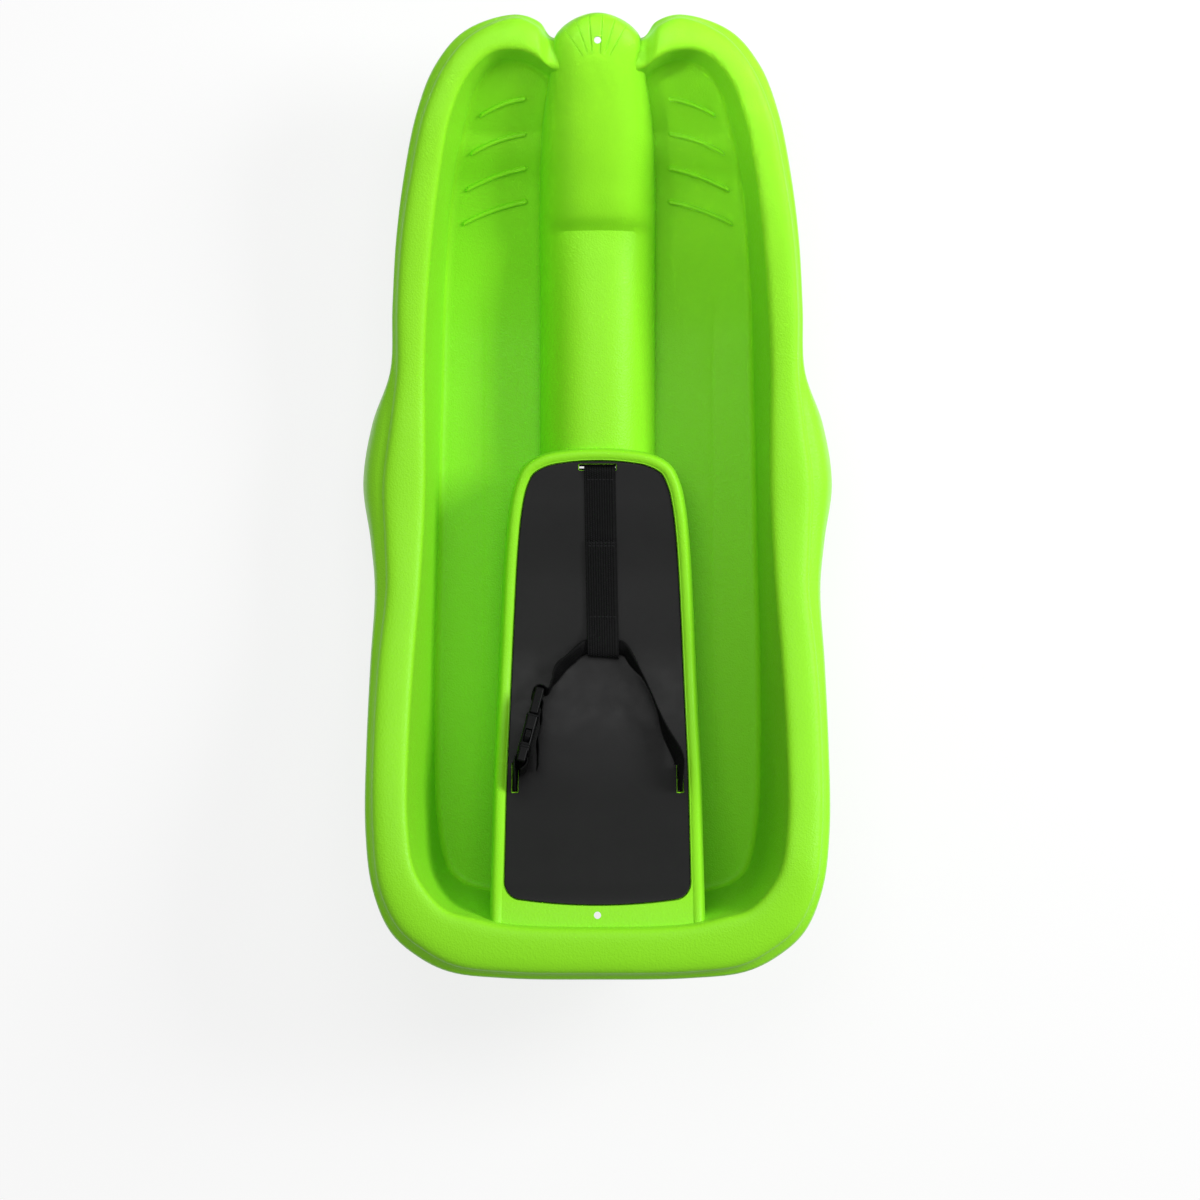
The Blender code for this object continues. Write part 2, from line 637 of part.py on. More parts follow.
def grip(side, index):
    """One raised foot grip, a thin arched bead on the floor."""
    inner = Vector((GRIP_INNER_X, GRIP_FIRST_Y - index * GRIP_PITCH))
    outer_x = foot_edge(inner.y - GRIP_WALL_BEHIND) - GRIP_FROM_WALL
    points = []
    steps, sides = 8, 6
    for i in range(steps + 1):
        u = i / steps
        x = inner.x + (outer_x - inner.x) * u
        y = inner.y - GRIP_SWEEP * (x - inner.x) + GRIP_ARCH * 4 * u * (1 - u)
        radius = GRIP_RADIUS * (0.45 if i in (0, steps) else 1.0)
        centre = Vector((side * x, y, floor_height(y) - GRIP_SINK))
        for k in range(sides):
            turn = 2 * math.pi * k / sides
            points.append(centre + Vector((0, math.cos(turn) * radius, math.sin(turn) * radius)))
    faces = bridge(steps + 1, sides)
    faces.append(list(range(sides)))
    faces.append([steps * sides + i for i in reversed(range(sides))])
    return mesh_object(f"grip {side} {index}", points, faces, cutter=True)


def upright_cutter(name, outline, low, high):
    count = len(outline)
    points = [(x, y, z) for z in (low, high) for x, y in outline]
    faces = [*bridge(2, count), list(range(count)), [count + i for i in range(count)]]
    return mesh_object(name, points, faces, cutter=True)


def round_hole(name, y, diameter):
    turns = [2 * math.pi * k / 16 for k in range(16)]
    outline = [(diameter / 2 * math.cos(t), y + diameter / 2 * math.sin(t)) for t in turns]
    return upright_cutter(name, outline, UNDER_DECK, ABOVE_RIM)


def slot_outline(centre, size, grow=0.0):
    x, y = centre
    w, h = size[0] / 2 + grow, size[1] / 2 + grow
    return [(x - w, y - h), (x + w, y - h), (x + w, y + h), (x - w, y + h)]


def slots(grow, where):
    """The three webbing slots as cutters."""
    places = ((f"crotch slot {where}", (0.0, CROTCH_SLOT_Y), CROTCH_SLOT),
              (f"right lap slot {where}", (LAP_SLOT_X, LAP_SLOT_Y), LAP_SLOT),
              (f"left lap slot {where}", (-LAP_SLOT_X, LAP_SLOT_Y), LAP_SLOT))
    return [upright_cutter(name, slot_outline(centre, size, grow), UNDER_PANEL, OVER_PANEL)
            for name, centre, size in places]


def hull():
    """The moulded hull: the tub, the seat box and the tunnel as one skin."""
    body = tub()
    combine(body, seat_box(), "UNION")
    combine(body, tunnel_solid("tunnel", 0.0, 0.0), "UNION")
    combine(body, recess(), "DIFFERENCE")
    combine(body, tunnel_solid("tunnel hollow", WALL, TUNNEL_SIDE_DROP), "DIFFERENCE")
    combine(body, seat_box_hollow(), "DIFFERENCE")
    for side in (-1, 1):
        combine(body, runner(side), "UNION")
        for index in range(GRIP_COUNT):
            combine(body, grip(side, index), "UNION")
        combine(body, runner_channel(side), "DIFFERENCE")
    combine(body, round_hole("nose hole", NOSE_HOLE_Y, NOSE_HOLE_DIAMETER), "DIFFERENCE")
    combine(body, round_hole("deck hole", DECK_HOLE_Y, DECK_HOLE_DIAMETER), "DIFFERENCE")
    for cutter in slots(-HULL_SLOT_INSET, "in hull"):
        combine(body, cutter, "DIFFERENCE")
    return body


def seat_panel():
    """The dark liner in the seat's recess, one bent sheet with rounded edges and three slots."""
    def ring(inset, drop):
        edge = panel_outline(-inset)
        return [(p.x, p.y, panel_top(p.y) - drop) for p in edge]

    rings = [ring(0.0, PANEL_THICKNESS), ring(0.0, PANEL_EDGE_DROP), ring(PANEL_EDGE_INSET, 0.0)]
    made = half_filled("seat_panel", rings, "bent", "bent", finish("seat panel", CHARCOAL, 0.38))
    for cutter in slots(0.0, "in panel"):
        combine(made, cutter, "DIFFERENCE")
    return made


def ribbon(name, path, width, material):
    """A closed strip of webbing along a path of (centre, direction across, thickness, share of width)."""
    points = []
    for i, (centre, across, thickness, share) in enumerate(path):
        run = path[min(i + 1, len(path) - 1)][0] - path[max(i - 1, 0)][0]
        run.normalize()
        across = (across - across.dot(run) * run).normalized()
        out = run.cross(across)
        for a, b in ((-1, -1), (1, -1), (1, 1), (-1, 1)):
            points.append(centre + a * share * width / 2 * across + b * thickness / 2 * out)
    rings = len(path)
    faces = bridge(rings, 4)
    faces.append((0, 1, 2, 3))
    faces.append(tuple((rings - 1) * 4 + i for i in (3, 2, 1, 0)))
    return mesh_object(name, points, faces, material)


def eased(centres, acrosses, folds, steps):
    """A smooth path through the centres, whose directions across turn evenly between them.

    Where the webbing is folded (1 is double) it is narrower and thicker.
    """
    line = smooth_line(centres, steps)
    path = []
    for i, centre in enumerate(line):
        k, part = divmod(i, steps)
        after = min(k + 1, len(acrosses) - 1)
        across = acrosses[k].lerp(acrosses[after], part / steps)
        fold = folds[k] + (folds[after] - folds[k]) * part / steps
        path.append((centre, across, WEB_THICKNESS * (1 + fold), 1 - FOLDED_AWAY * fold))
    return path


def slope_at(y):
    """Angle of the seat at y, from level, positive where it rises to the nose."""
    return math.atan((seat_height(y + 0.01) - seat_height(y - 0.01)) / 0.02)


def under_seat(y):
    return recess_floor(y) - WALL


def keeper(name, x, y, slot):
    """A plate under the seat, flat against it, that the webbing's end can't slip back through."""
    half_x, half_y = slot[0] / 2 + KEEPER_MARGIN, slot[1] / 2 + KEEPER_MARGIN
    shape = bmesh.new()
    size = (2 * half_x, 2 * half_y, KEEPER_THICKNESS)
    bmesh.ops.create_cube(shape, size=1.0, matrix=Matrix.Diagonal((*size, 1)))
    upright = [e for e in shape.edges if abs(e.verts[0].co.z - e.verts[1].co.z) > 1e-5]
    bmesh.ops.bevel(shape, geom=upright, offset=KEEPER_CORNER, segments=3, profile=0.5,
                     affect="EDGES")
    tilt = slope_at(y)
    drop = KEEPER_THICKNESS / 2 + SEAT_GAP + KEEPER_SPARE
    place = Vector((x, y, under_seat(y))) - drop * Vector((0, -math.sin(tilt), math.cos(tilt)))
    shape.transform(Matrix.Translation(place) @ Matrix.Rotation(tilt, 4, "X"))
    mesh = bpy.data.meshes.new(name)
    shape.to_mesh(mesh)
    shape.free()
    mesh.materials.append(finish(name, BLACK_PLASTIC, 0.45))
    made = bpy.data.objects.new(name, mesh)
    bpy.context.scene.collection.objects.link(made)
    outline = slot_outline((x, y), slot, -HULL_SLOT_INSET)
    cutter = upright_cutter(f"slot in {name}", outline, UNDER_PANEL, OVER_PANEL)
    combine(made, cutter, "DIFFERENCE")
    return made


def keeper_foot(y, slot):
    """Height of the lowest point of a keeper's plate within the webbing's width."""
    tilt = slope_at(y)
    fall = (slot[1] / 2) * abs(math.tan(tilt)) + (KEEPER_THICKNESS + SEAT_GAP) / math.cos(tilt)
    return under_seat(y) - fall - 2 * SEAT_GAP


def tail_end(x, y, slot, across):
    """The folded hem under a keeper, from its end upward."""
    top = keeper_foot(y, slot)
    levels = ((top - HEM_LENGTH, HEM_THICKNESS * 0.7), (top - HEM_LENGTH * 0.8, HEM_THICKNESS),
              (top - HEM_LENGTH * 0.2, HEM_THICKNESS), (top, HEM_THICKNESS * 0.7))
    path = [(Vector((x, y, z)), across, t, 1.0) for z, t in levels]
    return [*path, (Vector((x, y, top + 0.0002)), across, WEB_THICKNESS, 1.0)]


def crotch_strap():
    """The wide strap: up through its slot, back over the panel, and sewn into a loop at its end."""
    web = WEB_THICKNESS
    lift = SEAT_GAP + web / 2

    def drift(y):
        return CROTCH_DRIFT * (CROTCH_SLOT_Y - y) / (CROTCH_SLOT_Y - CROTCH_END_Y)

    def over(y, height):
        return Vector((drift(y), y, panel_top(y) + height))

    ys = (*CROTCH_FRONT_YS, CROTCH_SEAM_Y, CROTCH_MIDDLE_Y, CROTCH_LOOP_Y, CROTCH_BEND_Y)
    low = [over(y, lift) for y in ys]
    bend = [Vector((0, CROTCH_SLOT_Y, panel_top(CROTCH_SLOT_Y) - 0.004)),
            Vector((0, CROTCH_SLOT_Y - 0.0006, panel_top(CROTCH_SLOT_Y) + 0.0002)),
            Vector((0, CROTCH_SLOT_Y - 0.0032, panel_top(CROTCH_SLOT_Y) + 0.0021))]
    room = LOOP_ROOM + web
    end = [over(CROTCH_END_Y + 0.0040, lift + 0.0002), over(CROTCH_END_Y + 0.0008, lift + room * 0.28),
           over(CROTCH_END_Y + 0.0008, lift + room * 0.72), over(CROTCH_END_Y + 0.0040, lift + room)]
    back = [over(CROTCH_BEND_Y, lift + room), over(CROTCH_LOOP_Y - 0.004, lift + room * 0.9),
            over(CROTCH_LOOP_Y + 0.003, lift + web * 1.35), over(CROTCH_MIDDLE_Y, lift + web * 1.25),
            over(CROTCH_SEAM_Y, lift + web * 1.25)]
    across = Vector((1, 0, 0))
    path = tail_end(0.0, CROTCH_SLOT_Y, (CROTCH_SLOT[1], CROTCH_SLOT[1]), across)
    path += [(p, across, web, 1.0) for p in smooth_line([*bend, *low, *end, *back], 2)]
    return ribbon("crotch_strap", path, CROTCH_WEB_WIDTH, finish("crotch webbing", BLACK_WEB, 0.85))


def standing(x, y, more=0.0):
    """Centre of the lap webbing where it stands on its edge on the panel."""
    return Vector((x, y, panel_top(y) + LAP_WEB_WIDTH / 2 / math.cos(slope_at(y)) + 0.0010 + more))


def rise_from_slot(side):
    """The lap webbing out of its slot: up, then turning forward in its own plane."""
    x, y = side * LAP_SLOT_X, LAP_SLOT_Y
    top = panel_top(y) + 0.0010
    found = []
    for turn in SLOT_TURNS:
        a = math.radians(turn)
        inward = side * 0.0012 * turn / SLOT_TURNS[-1]
        found.append(Vector((x - inward, y + WEB_BEND * (1 - math.cos(a)), top + WEB_BEND * math.sin(a))))
    return found


def in_own_plane(centres):
    """For webbing that stays in an upright plane: the direction across at each centre."""
    found = []
    for i in range(len(centres)):
        run = centres[min(i + 1, len(centres) - 1)] - centres[max(i - 1, 0)]
        found.append(Vector((1, 0, 0)).cross(run).normalized())
    return found


def buckle_place():
    """Matrix from the buckle's own frame: x its thickness, y from rear to front, z its width."""
    ends = [Vector((x, y, panel_top(y) + BUCKLE_LIFT / math.cos(slope_at(y))))
            for x, y in (BUCKLE_REAR, BUCKLE_FRONT)]
    run = (ends[1] - ends[0]).normalized()
    side = run.cross(Vector((0, 0, 1))).normalized()
    up = side.cross(run)
    turned = Matrix((side, run, up)).transposed().to_4x4()
    return Matrix.Translation(ends[0]) @ turned


def lap_strap():
    """The long strap: right slot, through the crotch strap's loop, round the plug's end bar, tail."""
    place = buckle_place()
    level = SEAT_GAP + WEB_THICKNESS + LOOP_ROOM / 2
    loop_y = CROTCH_END_Y + 0.0100
    web_up, web_flat = Vector((0, 0, 1)), Vector((0, 1, 0))
    x, y = LAP_SLOT_X, LAP_SLOT_Y
    start = tail_end(x, y, LAP_SLOT, Vector((0, -1, 0)))
    rise = [Vector((x, y, under_seat(y) - 0.001)), *rise_from_slot(1)]

    def upright(run):
        return [(standing(px, py, -sink), Vector(LEANING) if fold > 0.5 else web_up, fold)
                for px, py, sink, fold in run]

    def flat(x, back=0.0, up=0.0):
        return Vector((x, loop_y - back, panel_top(loop_y) + level + up))

    entering, leaving = ((flat(px, *LOOP_DIP), Vector(NEARLY_FLAT), 1.0) for px in LAP_AT_LOOP)
    in_loop = [(flat(px), web_flat, 1.0) for px in LAP_IN_LOOP]
    stages = [*upright(LAP_RUN_RIGHT), entering, *in_loop, leaving, *upright(LAP_RUN_LEFT)]
    bar = plug_end() - END_BAR / 2
    reach = BAR_THICKNESS / 2 + WEB_THICKNESS / 2 + MOULDED_GAP
    under = bar - END_BAR / 2 - STRAP_SLOT / 2
    round_bar = ((reach + 0.0038, bar + 0.0070), (0.0008, bar + END_BAR / 2 + 0.0026),
                 (-reach, bar + 0.0022), (-reach - 0.0004, bar - END_BAR / 2), (-0.0022, under + 0.0002),
                 (0.0006, under - 0.0006), (0.0028, under - 0.0010), (reach + 0.0010, under - 0.0048))
    tail = tuple((aside, bar - behind) for aside, behind in LAP_TAIL)
    up = place.to_3x3() @ Vector((0, 0, 1))
    stages += [(place @ Vector((px, py, 0.0)), up, 0.0) for px, py in (*round_bar, *tail)]
    centres = [*rise, *(c for c, _, _ in stages)]
    acrosses = [*in_own_plane(rise), *(a for _, a, _ in stages)]
    folds = [0.0] * len(rise) + [f for _, _, f in stages]
    path = start + eased(centres, acrosses, folds, 3)
    return ribbon("lap_strap", path, LAP_WEB_WIDTH, finish("lap webbing", BLACK_WEB, 0.85))


def short_strap():
    """The left strap, from its slot to the receptacle's bar and back on itself."""
    place = buckle_place()
    x, y = -LAP_SLOT_X, LAP_SLOT_Y
    start = tail_end(x, y, LAP_SLOT, Vector((0, -1, 0)))
    reach = BAR_THICKNESS / 2 + WEB_THICKNESS / 2 + MOULDED_GAP
    inside = END_BAR + STRAP_SLOT / 2
    round_bar = ((-reach, -0.0010), (-reach - 0.0003, END_BAR - 0.0001), (-0.0024, inside - 0.0002),
                 (0.0, inside + 0.0003), (0.0024, inside - 0.0002), (reach + 0.0003, END_BAR - 0.0001),
                 (reach, -0.0010), (0.0022, -0.0065))
    up = place.to_3x3() @ Vector((0, 0, 1))
    rise = [Vector((x, y, under_seat(y) - 0.001)), Vector((x, y, panel_top(y) + 0.002)),
            Vector((x + 0.0002, y + 0.0012, panel_top(y) + 0.0085))]
    stages = [(place @ Vector((px, py, 0.0)), up) for px, py in round_bar]
    centres = [*rise, *(c for c, _ in stages)]
    acrosses = [Vector((0, -1, 0)), Vector((0, -1, 0)), Vector((0, -0.75, 0.65)), *(a for _, a in stages)]
    path = start + eased(centres, acrosses, [0.0] * len(centres), 3)
    return ribbon("lap_strap_short", path, LAP_WEB_WIDTH, finish("short webbing", BLACK_WEB, 0.85))


def block(name, low, high, bevel=0.0, cutter=True):
    """A box between two corners, in the buckle's own frame, with its long edges rounded."""
    shape = bmesh.new()
    size = [h - l for l, h in zip(low, high, strict=True)]
    middle = [(h + l) / 2 for l, h in zip(low, high, strict=True)]
    bmesh.ops.create_cube(shape, size=1.0, matrix=Matrix.Translation(middle) @ Matrix.Diagonal((*size, 1)))
    if bevel:
        bmesh.ops.bevel(shape, geom=shape.edges[:], offset=bevel, segments=2, profile=0.5, affect="EDGES")
    mesh = bpy.data.meshes.new(name)
    shape.to_mesh(mesh)
    shape.free()
    made = bpy.data.objects.new(name, mesh)
    bpy.context.scene.collection.objects.link(made)
    made.matrix_world = buckle_place()
    if cutter:
        made.hide_render = True
        made.display_type = "WIRE"
    else:
        mesh.materials.append(finish(name, BLACK_PLASTIC, 0.35))
    return made


def plug_start():
    return RECEPTACLE_LENGTH + MOULDED_GAP


def plug_end():
    return plug_start() + PLUG_BASE + 2 * STRAP_SLOT + MIDDLE_BAR + END_BAR


def receptacle():
    """The buckle's socket: a flat case open at the front, with a window each side for a catch."""
    half_t, half_w = BUCKLE_THICKNESS / 2, BUCKLE_WIDTH / 2
    case_start = END_BAR + STRAP_SLOT
    made = block("buckle_receptacle", (-half_t, case_start - 0.001, -half_w),
                 (half_t, RECEPTACLE_LENGTH, half_w), CASE_ROUNDING, cutter=False)
    bar = BAR_THICKNESS / 2
    web = LAP_WEB_WIDTH / 2 + SLOT_SPARE
    combine(made, block("receptacle bar", (-bar, 0, -half_w), (bar, case_start + FUSED_DEPTH, half_w),
                        BAR_ROUNDING), "UNION")
    combine(made, block("receptacle strap slot", (-PAST, END_BAR, -web), (PAST, case_start, web)),
            "DIFFERENCE")
    half_s, half_sw = SOCKET_THICKNESS / 2, SOCKET_WIDTH / 2
    floor, mouth = case_start + SOCKET_FLOOR, RECEPTACLE_LENGTH + PAST
    combine(made, block("socket", (-half_s, floor, -half_sw), (half_s, mouth, half_sw)), "DIFFERENCE")
    start, length = WINDOW
    combine(made, block("windows", (-half_s, start, -half_w - PAST), (half_s, start + length, half_w + PAST)),
            "DIFFERENCE")
    return made


def plug():
    """The buckle's plug: a ladder for the long strap, and a tongue between the two arms."""
    half_w, bar = BUCKLE_WIDTH / 2, BAR_THICKNESS / 2
    made = block("buckle_plug", (-bar, plug_start(), -half_w), (bar, plug_end(), half_w), PLUG_ROUNDING,
                 cutter=False)
    thick, wide, long = TONGUE
    combine(made, block("tongue", (-thick / 2, plug_start() - long, -wide / 2),
                        (thick / 2, plug_start() + FUSED_DEPTH, wide / 2), TONGUE_ROUNDING), "UNION")
    web = LAP_WEB_WIDTH / 2 + SLOT_SPARE
    for index in range(2):
        start = plug_start() + PLUG_BASE + index * (STRAP_SLOT + MIDDLE_BAR)
        combine(made, block(f"ladder slot {index}", (-PAST, start, -web), (PAST, start + STRAP_SLOT, web)),
                "DIFFERENCE")
    return made


def arm(name, side):
    """One sprung arm of the plug, with the catch that shows in the receptacle's window."""
    root = plug_start() - MOULDED_GAP
    outer = SOCKET_WIDTH / 2 - ARM_GAP
    start, length = WINDOW
    spare = (length - CATCH_LENGTH) / 2
    tip, heel = start + spare, start + spare + CATCH_LENGTH
    inner = outer - ARM_WIDTH
    proud = BUCKLE_WIDTH / 2 - CATCH_PROUD
    outline = ((inner, root), (outer, root), (outer, heel), (proud, heel), (proud, tip + CATCH_LEAD),
               (outer, tip), (inner, tip))
    half = ARM_THICKNESS / 2
    count = len(outline)
    points = [(x, y, side * z) for x in (-half, half) for z, y in outline]
    faces = [*bridge(2, count), list(range(count)), [count + i for i in range(count)]]
    made = mesh_object(name, points, faces, finish(name, BLACK_PLASTIC, 0.35))
    pivot = Vector((0, root, side * (outer + inner) / 2))
    made.data.transform(Matrix.Translation(-pivot))
    made.matrix_world = buckle_place() @ Matrix.Translation(pivot)
    return made


def main():
    clear_scene()
    hull()
    seat_panel()
    crotch_strap()
    keeper("crotch_keeper", 0.0, CROTCH_SLOT_Y, CROTCH_SLOT)
    keeper("lap_keeper_right", LAP_SLOT_X, LAP_SLOT_Y, LAP_SLOT)
    keeper("lap_keeper_left", -LAP_SLOT_X, LAP_SLOT_Y, LAP_SLOT)
    lap_strap()
    short_strap()
    receptacle()
    plug()
    arm("buckle_arm_upper", 1)
    arm("buckle_arm_lower", -1)


main()
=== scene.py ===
"""Studio dressing of the baby sled: the moulded hull, its seat panel, the webbing and the buckle.

Metres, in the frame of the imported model: +X to the right, +Y towards the nose, +Z up.
"""

import logging
import math
from collections.abc import Callable, Mapping, Sequence
from dataclasses import dataclass, field
from enum import Enum
from typing import Any

import bmesh
import bpy
from mathutils import Matrix, Vector


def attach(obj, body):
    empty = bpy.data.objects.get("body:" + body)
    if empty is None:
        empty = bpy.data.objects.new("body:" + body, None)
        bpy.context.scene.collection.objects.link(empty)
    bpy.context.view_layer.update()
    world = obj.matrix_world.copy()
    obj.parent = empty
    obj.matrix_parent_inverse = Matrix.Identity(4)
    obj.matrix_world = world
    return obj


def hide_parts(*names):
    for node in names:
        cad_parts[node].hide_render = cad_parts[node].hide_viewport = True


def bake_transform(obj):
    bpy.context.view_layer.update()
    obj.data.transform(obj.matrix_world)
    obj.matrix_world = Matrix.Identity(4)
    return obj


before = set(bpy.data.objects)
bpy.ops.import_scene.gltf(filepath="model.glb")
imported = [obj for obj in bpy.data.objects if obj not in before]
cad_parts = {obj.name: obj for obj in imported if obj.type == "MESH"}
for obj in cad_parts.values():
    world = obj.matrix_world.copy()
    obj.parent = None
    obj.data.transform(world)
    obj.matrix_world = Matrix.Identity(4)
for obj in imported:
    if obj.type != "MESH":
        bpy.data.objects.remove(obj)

LOG = logging.getLogger("sled")

Piece = bpy.types.Object
Material = bpy.types.Material
Socket = bpy.types.NodeSocket
Pair = tuple[float, float]
Point = tuple[float, float, float]
Table = Sequence[Pair]
# x, y, how far it sinks, how far it is folded and how far it leans.
RunStop = tuple[float, float, float, float, float]


class Side(Enum):
    """A side of the sled, with the sign of its x."""

    LEFT = -1
    RIGHT = 1


class Join(Enum):
    """How one solid meets another."""

    ADD = "UNION"
    CUT = "DIFFERENCE"


def clamped(share: float) -> float:
    """Keep a share between 0 and 1."""
    return max(0.0, min(1.0, share))


def along(table: Table, y: float) -> float:
    """Read a smooth curve through (y, value) pairs, level at both ends.

    Args:
        table: The pairs, with y rising.
        y: Where to read the curve.

    Returns:
        The value there.
    """
    if y <= table[0][0]:
        return table[0][1]
    if y >= table[-1][0]:
        return table[-1][1]
    k = next(i for i in range(len(table) - 1) if y <= table[i + 1][0])

    def slope(i: int) -> float:
        """Slope at the table's row i, nought at a turning point."""
        if i in (0, len(table) - 1):
            return 0.0
        before = (table[i][1] - table[i - 1][1]) / (table[i][0] - table[i - 1][0])
        after = (table[i + 1][1] - table[i][1]) / (table[i + 1][0] - table[i][0])
        return 0.0 if before * after <= 0 else 2 * before * after / (before + after)

    width = table[k + 1][0] - table[k][0]
    u = (y - table[k][0]) / width
    rise = table[k + 1][1] - table[k][1]
    value = table[k][1] + rise * (3 - 2 * u) * u * u
    return value + width * slope(k) * u * (1 - u) ** 2 - width * slope(k + 1) * u * u * (1 - u)


def smooth_line(points: Sequence[Sequence[float]], steps: int, mirrored_ends: bool = False) -> list[Vector]:
    """Run a smooth curve through points in a plane or in space.

    Args:
        points: What the curve goes through.
        steps: Pieces between one point and the next.
        mirrored_ends: Whether the curve goes on past its ends as its own mirror image in x.

    Returns:
        The points of the curve, the given ones among them.
    """
    line = [Vector(p) for p in points]
    if mirrored_ends:
        flip = Vector((-1, 1, 1)[: len(line[0])])
        before, after = line[1] * flip, line[-2] * flip
    else:
        before, after = 2 * line[0] - line[1], 2 * line[-1] - line[-2]
    line = [before, *line, after]
    found = []
    for k in range(1, len(line) - 2):
        p0, p1, p2, p3 = line[k - 1 : k + 3]
        d1, d2, d3 = (max((b - a).length, 1e-6) ** 0.5 for a, b in ((p0, p1), (p1, p2), (p2, p3)))
        m1 = (p2 - p1) + d2 * ((p1 - p0) / d1 - (p2 - p0) / (d1 + d2))
        m2 = (p2 - p1) + d2 * ((p3 - p2) / d3 - (p3 - p1) / (d2 + d3))
        for i in range(steps):
            u = i / steps
            found.append((2 * p1 - 2 * p2 + m1 + m2) * u**3 + (3 * p2 - 3 * p1 - 2 * m1 - m2) * u * u
                         + m1 * u + p1)
    return [*found, line[-2]]


def bridge(rings: int, length: int) -> list[tuple[int, ...]]:
    """Quads between closed rings of equal length that follow one another.

    Args:
        rings: How many rings there are.
        length: Points in each ring.

    Returns:
        The faces, as indices of points.
    """
    return [(a * length + i, a * length + (i + 1) % length, (a + 1) * length + (i + 1) % length,
             (a + 1) * length + i) for a in range(rings - 1) for i in range(length)]


def placed(name: str, data: bpy.types.ID) -> Piece:
    """Put new data into the scene as an object at the origin."""
    made = bpy.data.objects.new(name, data)
    bpy.context.scene.collection.objects.link(made)
    return made


def mesh_object(name: str, points: Sequence[Sequence[float]], faces: Sequence[Sequence[int]],
                outward: bool = True) -> Piece:
    """Make an object at the origin from points and faces.

    Args:
        name: The piece's name.
        points: Its corners, in the sled's frame.
        faces: Indices of corners, one row for each face.
        outward: Whether to turn the faces so that they point out.

    Returns:
        The object, linked to the scene.
    """
    shape = bmesh.new()
    corners = [shape.verts.new(p) for p in points]
    for face in faces:
        shape.faces.new([corners[i] for i in face])
    if outward:
        bmesh.ops.recalc_face_normals(shape, faces=shape.faces)
    mesh = bpy.data.meshes.new(name)
    shape.to_mesh(mesh)
    shape.free()
    return placed(name, mesh)


def remove(*objects: Piece) -> None:
    """Delete helper objects from the file."""
    for thing in objects:
        bpy.data.objects.remove(thing, do_unlink=True)


def settle(thing: Piece) -> None:
    """Turn an object's modifiers into its plain mesh.

    Args:
        thing: The object, whose modifiers are then gone.
    """
    graph = bpy.context.evaluated_depsgraph_get()
    mesh = bpy.data.meshes.new_from_object(thing.evaluated_get(graph), depsgraph=graph)
    mesh.name = thing.name
    thing.modifiers.clear()
    thing.data = mesh


def combine(target: Piece, others: Sequence[Piece], how: Join,
            solver: str = "MANIFOLD") -> None:
    """Add closed solids to an object or cut them from it, and delete them.

    Args:
        target: The solid that is changed.
        others: The solids that are added or cut away.
        how: Whether they are added or cut away.
        solver: The Boolean modifier's solver.
    """
    for other in others:
        step = target.modifiers.new(other.name, "BOOLEAN")
        step.operation = how.value
        step.object = other
        step.solver = solver
    settle(target)
    remove(*others)


def lofted(name: str, rings: Sequence[Sequence[Sequence[float]]]) -> Piece:
    """Make a closed solid from rings of equal length, with both ends filled.

    Args:
        name: The solid's name.
        rings: The rings' points.

    Returns:
        The solid.
    """
    length = len(rings[0])
    last = (len(rings) - 1) * length
    faces = [*bridge(len(rings), length), tuple(range(length)), tuple(reversed(range(last, last + length)))]
    return mesh_object(name, [p for ring in rings for p in ring], faces)


def swept(name: str, centres: Sequence[Vector], section: Callable[[int], list[Vector]]) -> Piece:
    """Make a closed solid by carrying a section along centres.

    Args:
        name: The solid's name.
        centres: Where the section goes.
        section: Gives the section's points about centre i, always the same number of them.

    Returns:
        The solid.
    """
    return lofted(name, [[centre + p for p in section(i)] for i, centre in enumerate(centres)])


def circle(sides: int) -> list[Pair]:
    """Cosine and sine at equal steps round a circle."""
    return [(math.cos(2 * math.pi * k / sides), math.sin(2 * math.pi * k / sides)) for k in range(sides)]


def rod(name: str, centres: Sequence[Vector], radii: Sequence[float], sideways: Vector, sides: int) -> Piece:
    """Make a round rod whose radius changes.

    Args:
        name: The rod's name.
        centres: What its middle goes through.
        radii: Its radius at each.
        sideways: The level direction that its sections lie in.
        sides: Faces round it.

    Returns:
        The rod.
    """
    round_it = [sideways * c + Vector((0, 0, s)) for c, s in circle(sides)]
    return swept(name, centres, lambda i: [p * radii[i] for p in round_it])


def round_box(half_x: float, half_y: float, radius: float, turns: int = 5) -> list[Pair]:
    """Outline of a box with round corners, about the origin.

    Args:
        half_x: Half its width.
        half_y: Half its height.
        radius: Radius of its corners.
        turns: Pieces in each corner.

    Returns:
        Its points, counter-clockwise.
    """
    found = []
    for quarter, (sx, sy) in enumerate(((1, 1), (-1, 1), (-1, -1), (1, -1))):
        for k in range(turns + 1):
            turn = math.pi / 2 * (quarter + k / turns)
            found.append((sx * (half_x - radius) + radius * math.cos(turn),
                          sy * (half_y - radius) + radius * math.sin(turn)))
    return found


def upright(name: str, outline: Table, low: float, high: float) -> Piece:
    """A cutter with an outline in plan, standing upright.

    Args:
        name: The cutter's name.
        outline: Points round it, as (x, y).
        low: Height of its lower end.
        high: Height of its upper end.

    Returns:
        The cutter.
    """
    return lofted(name, [[(x, y, z) for x, y in outline] for z in (low, high)])


def bevelled(thing: Piece, radius: float, segments: int, level_only: bool = False) -> None:
    """Round the edges of a plain mesh.

    Args:
        thing: The piece.
        radius: Radius of its edges.
        segments: Pieces in each rounding.
        level_only: Whether only the level edges are rounded.
    """
    shape = bmesh.new()
    shape.from_mesh(thing.data)
    edges = [e for e in shape.edges if not level_only or abs(e.verts[0].co.z - e.verts[1].co.z) < 1e-6]
    bmesh.ops.bevel(shape, geom=edges, offset=radius, segments=segments, profile=0.5, affect="EDGES")
    shape.to_mesh(thing.data)
    shape.free()


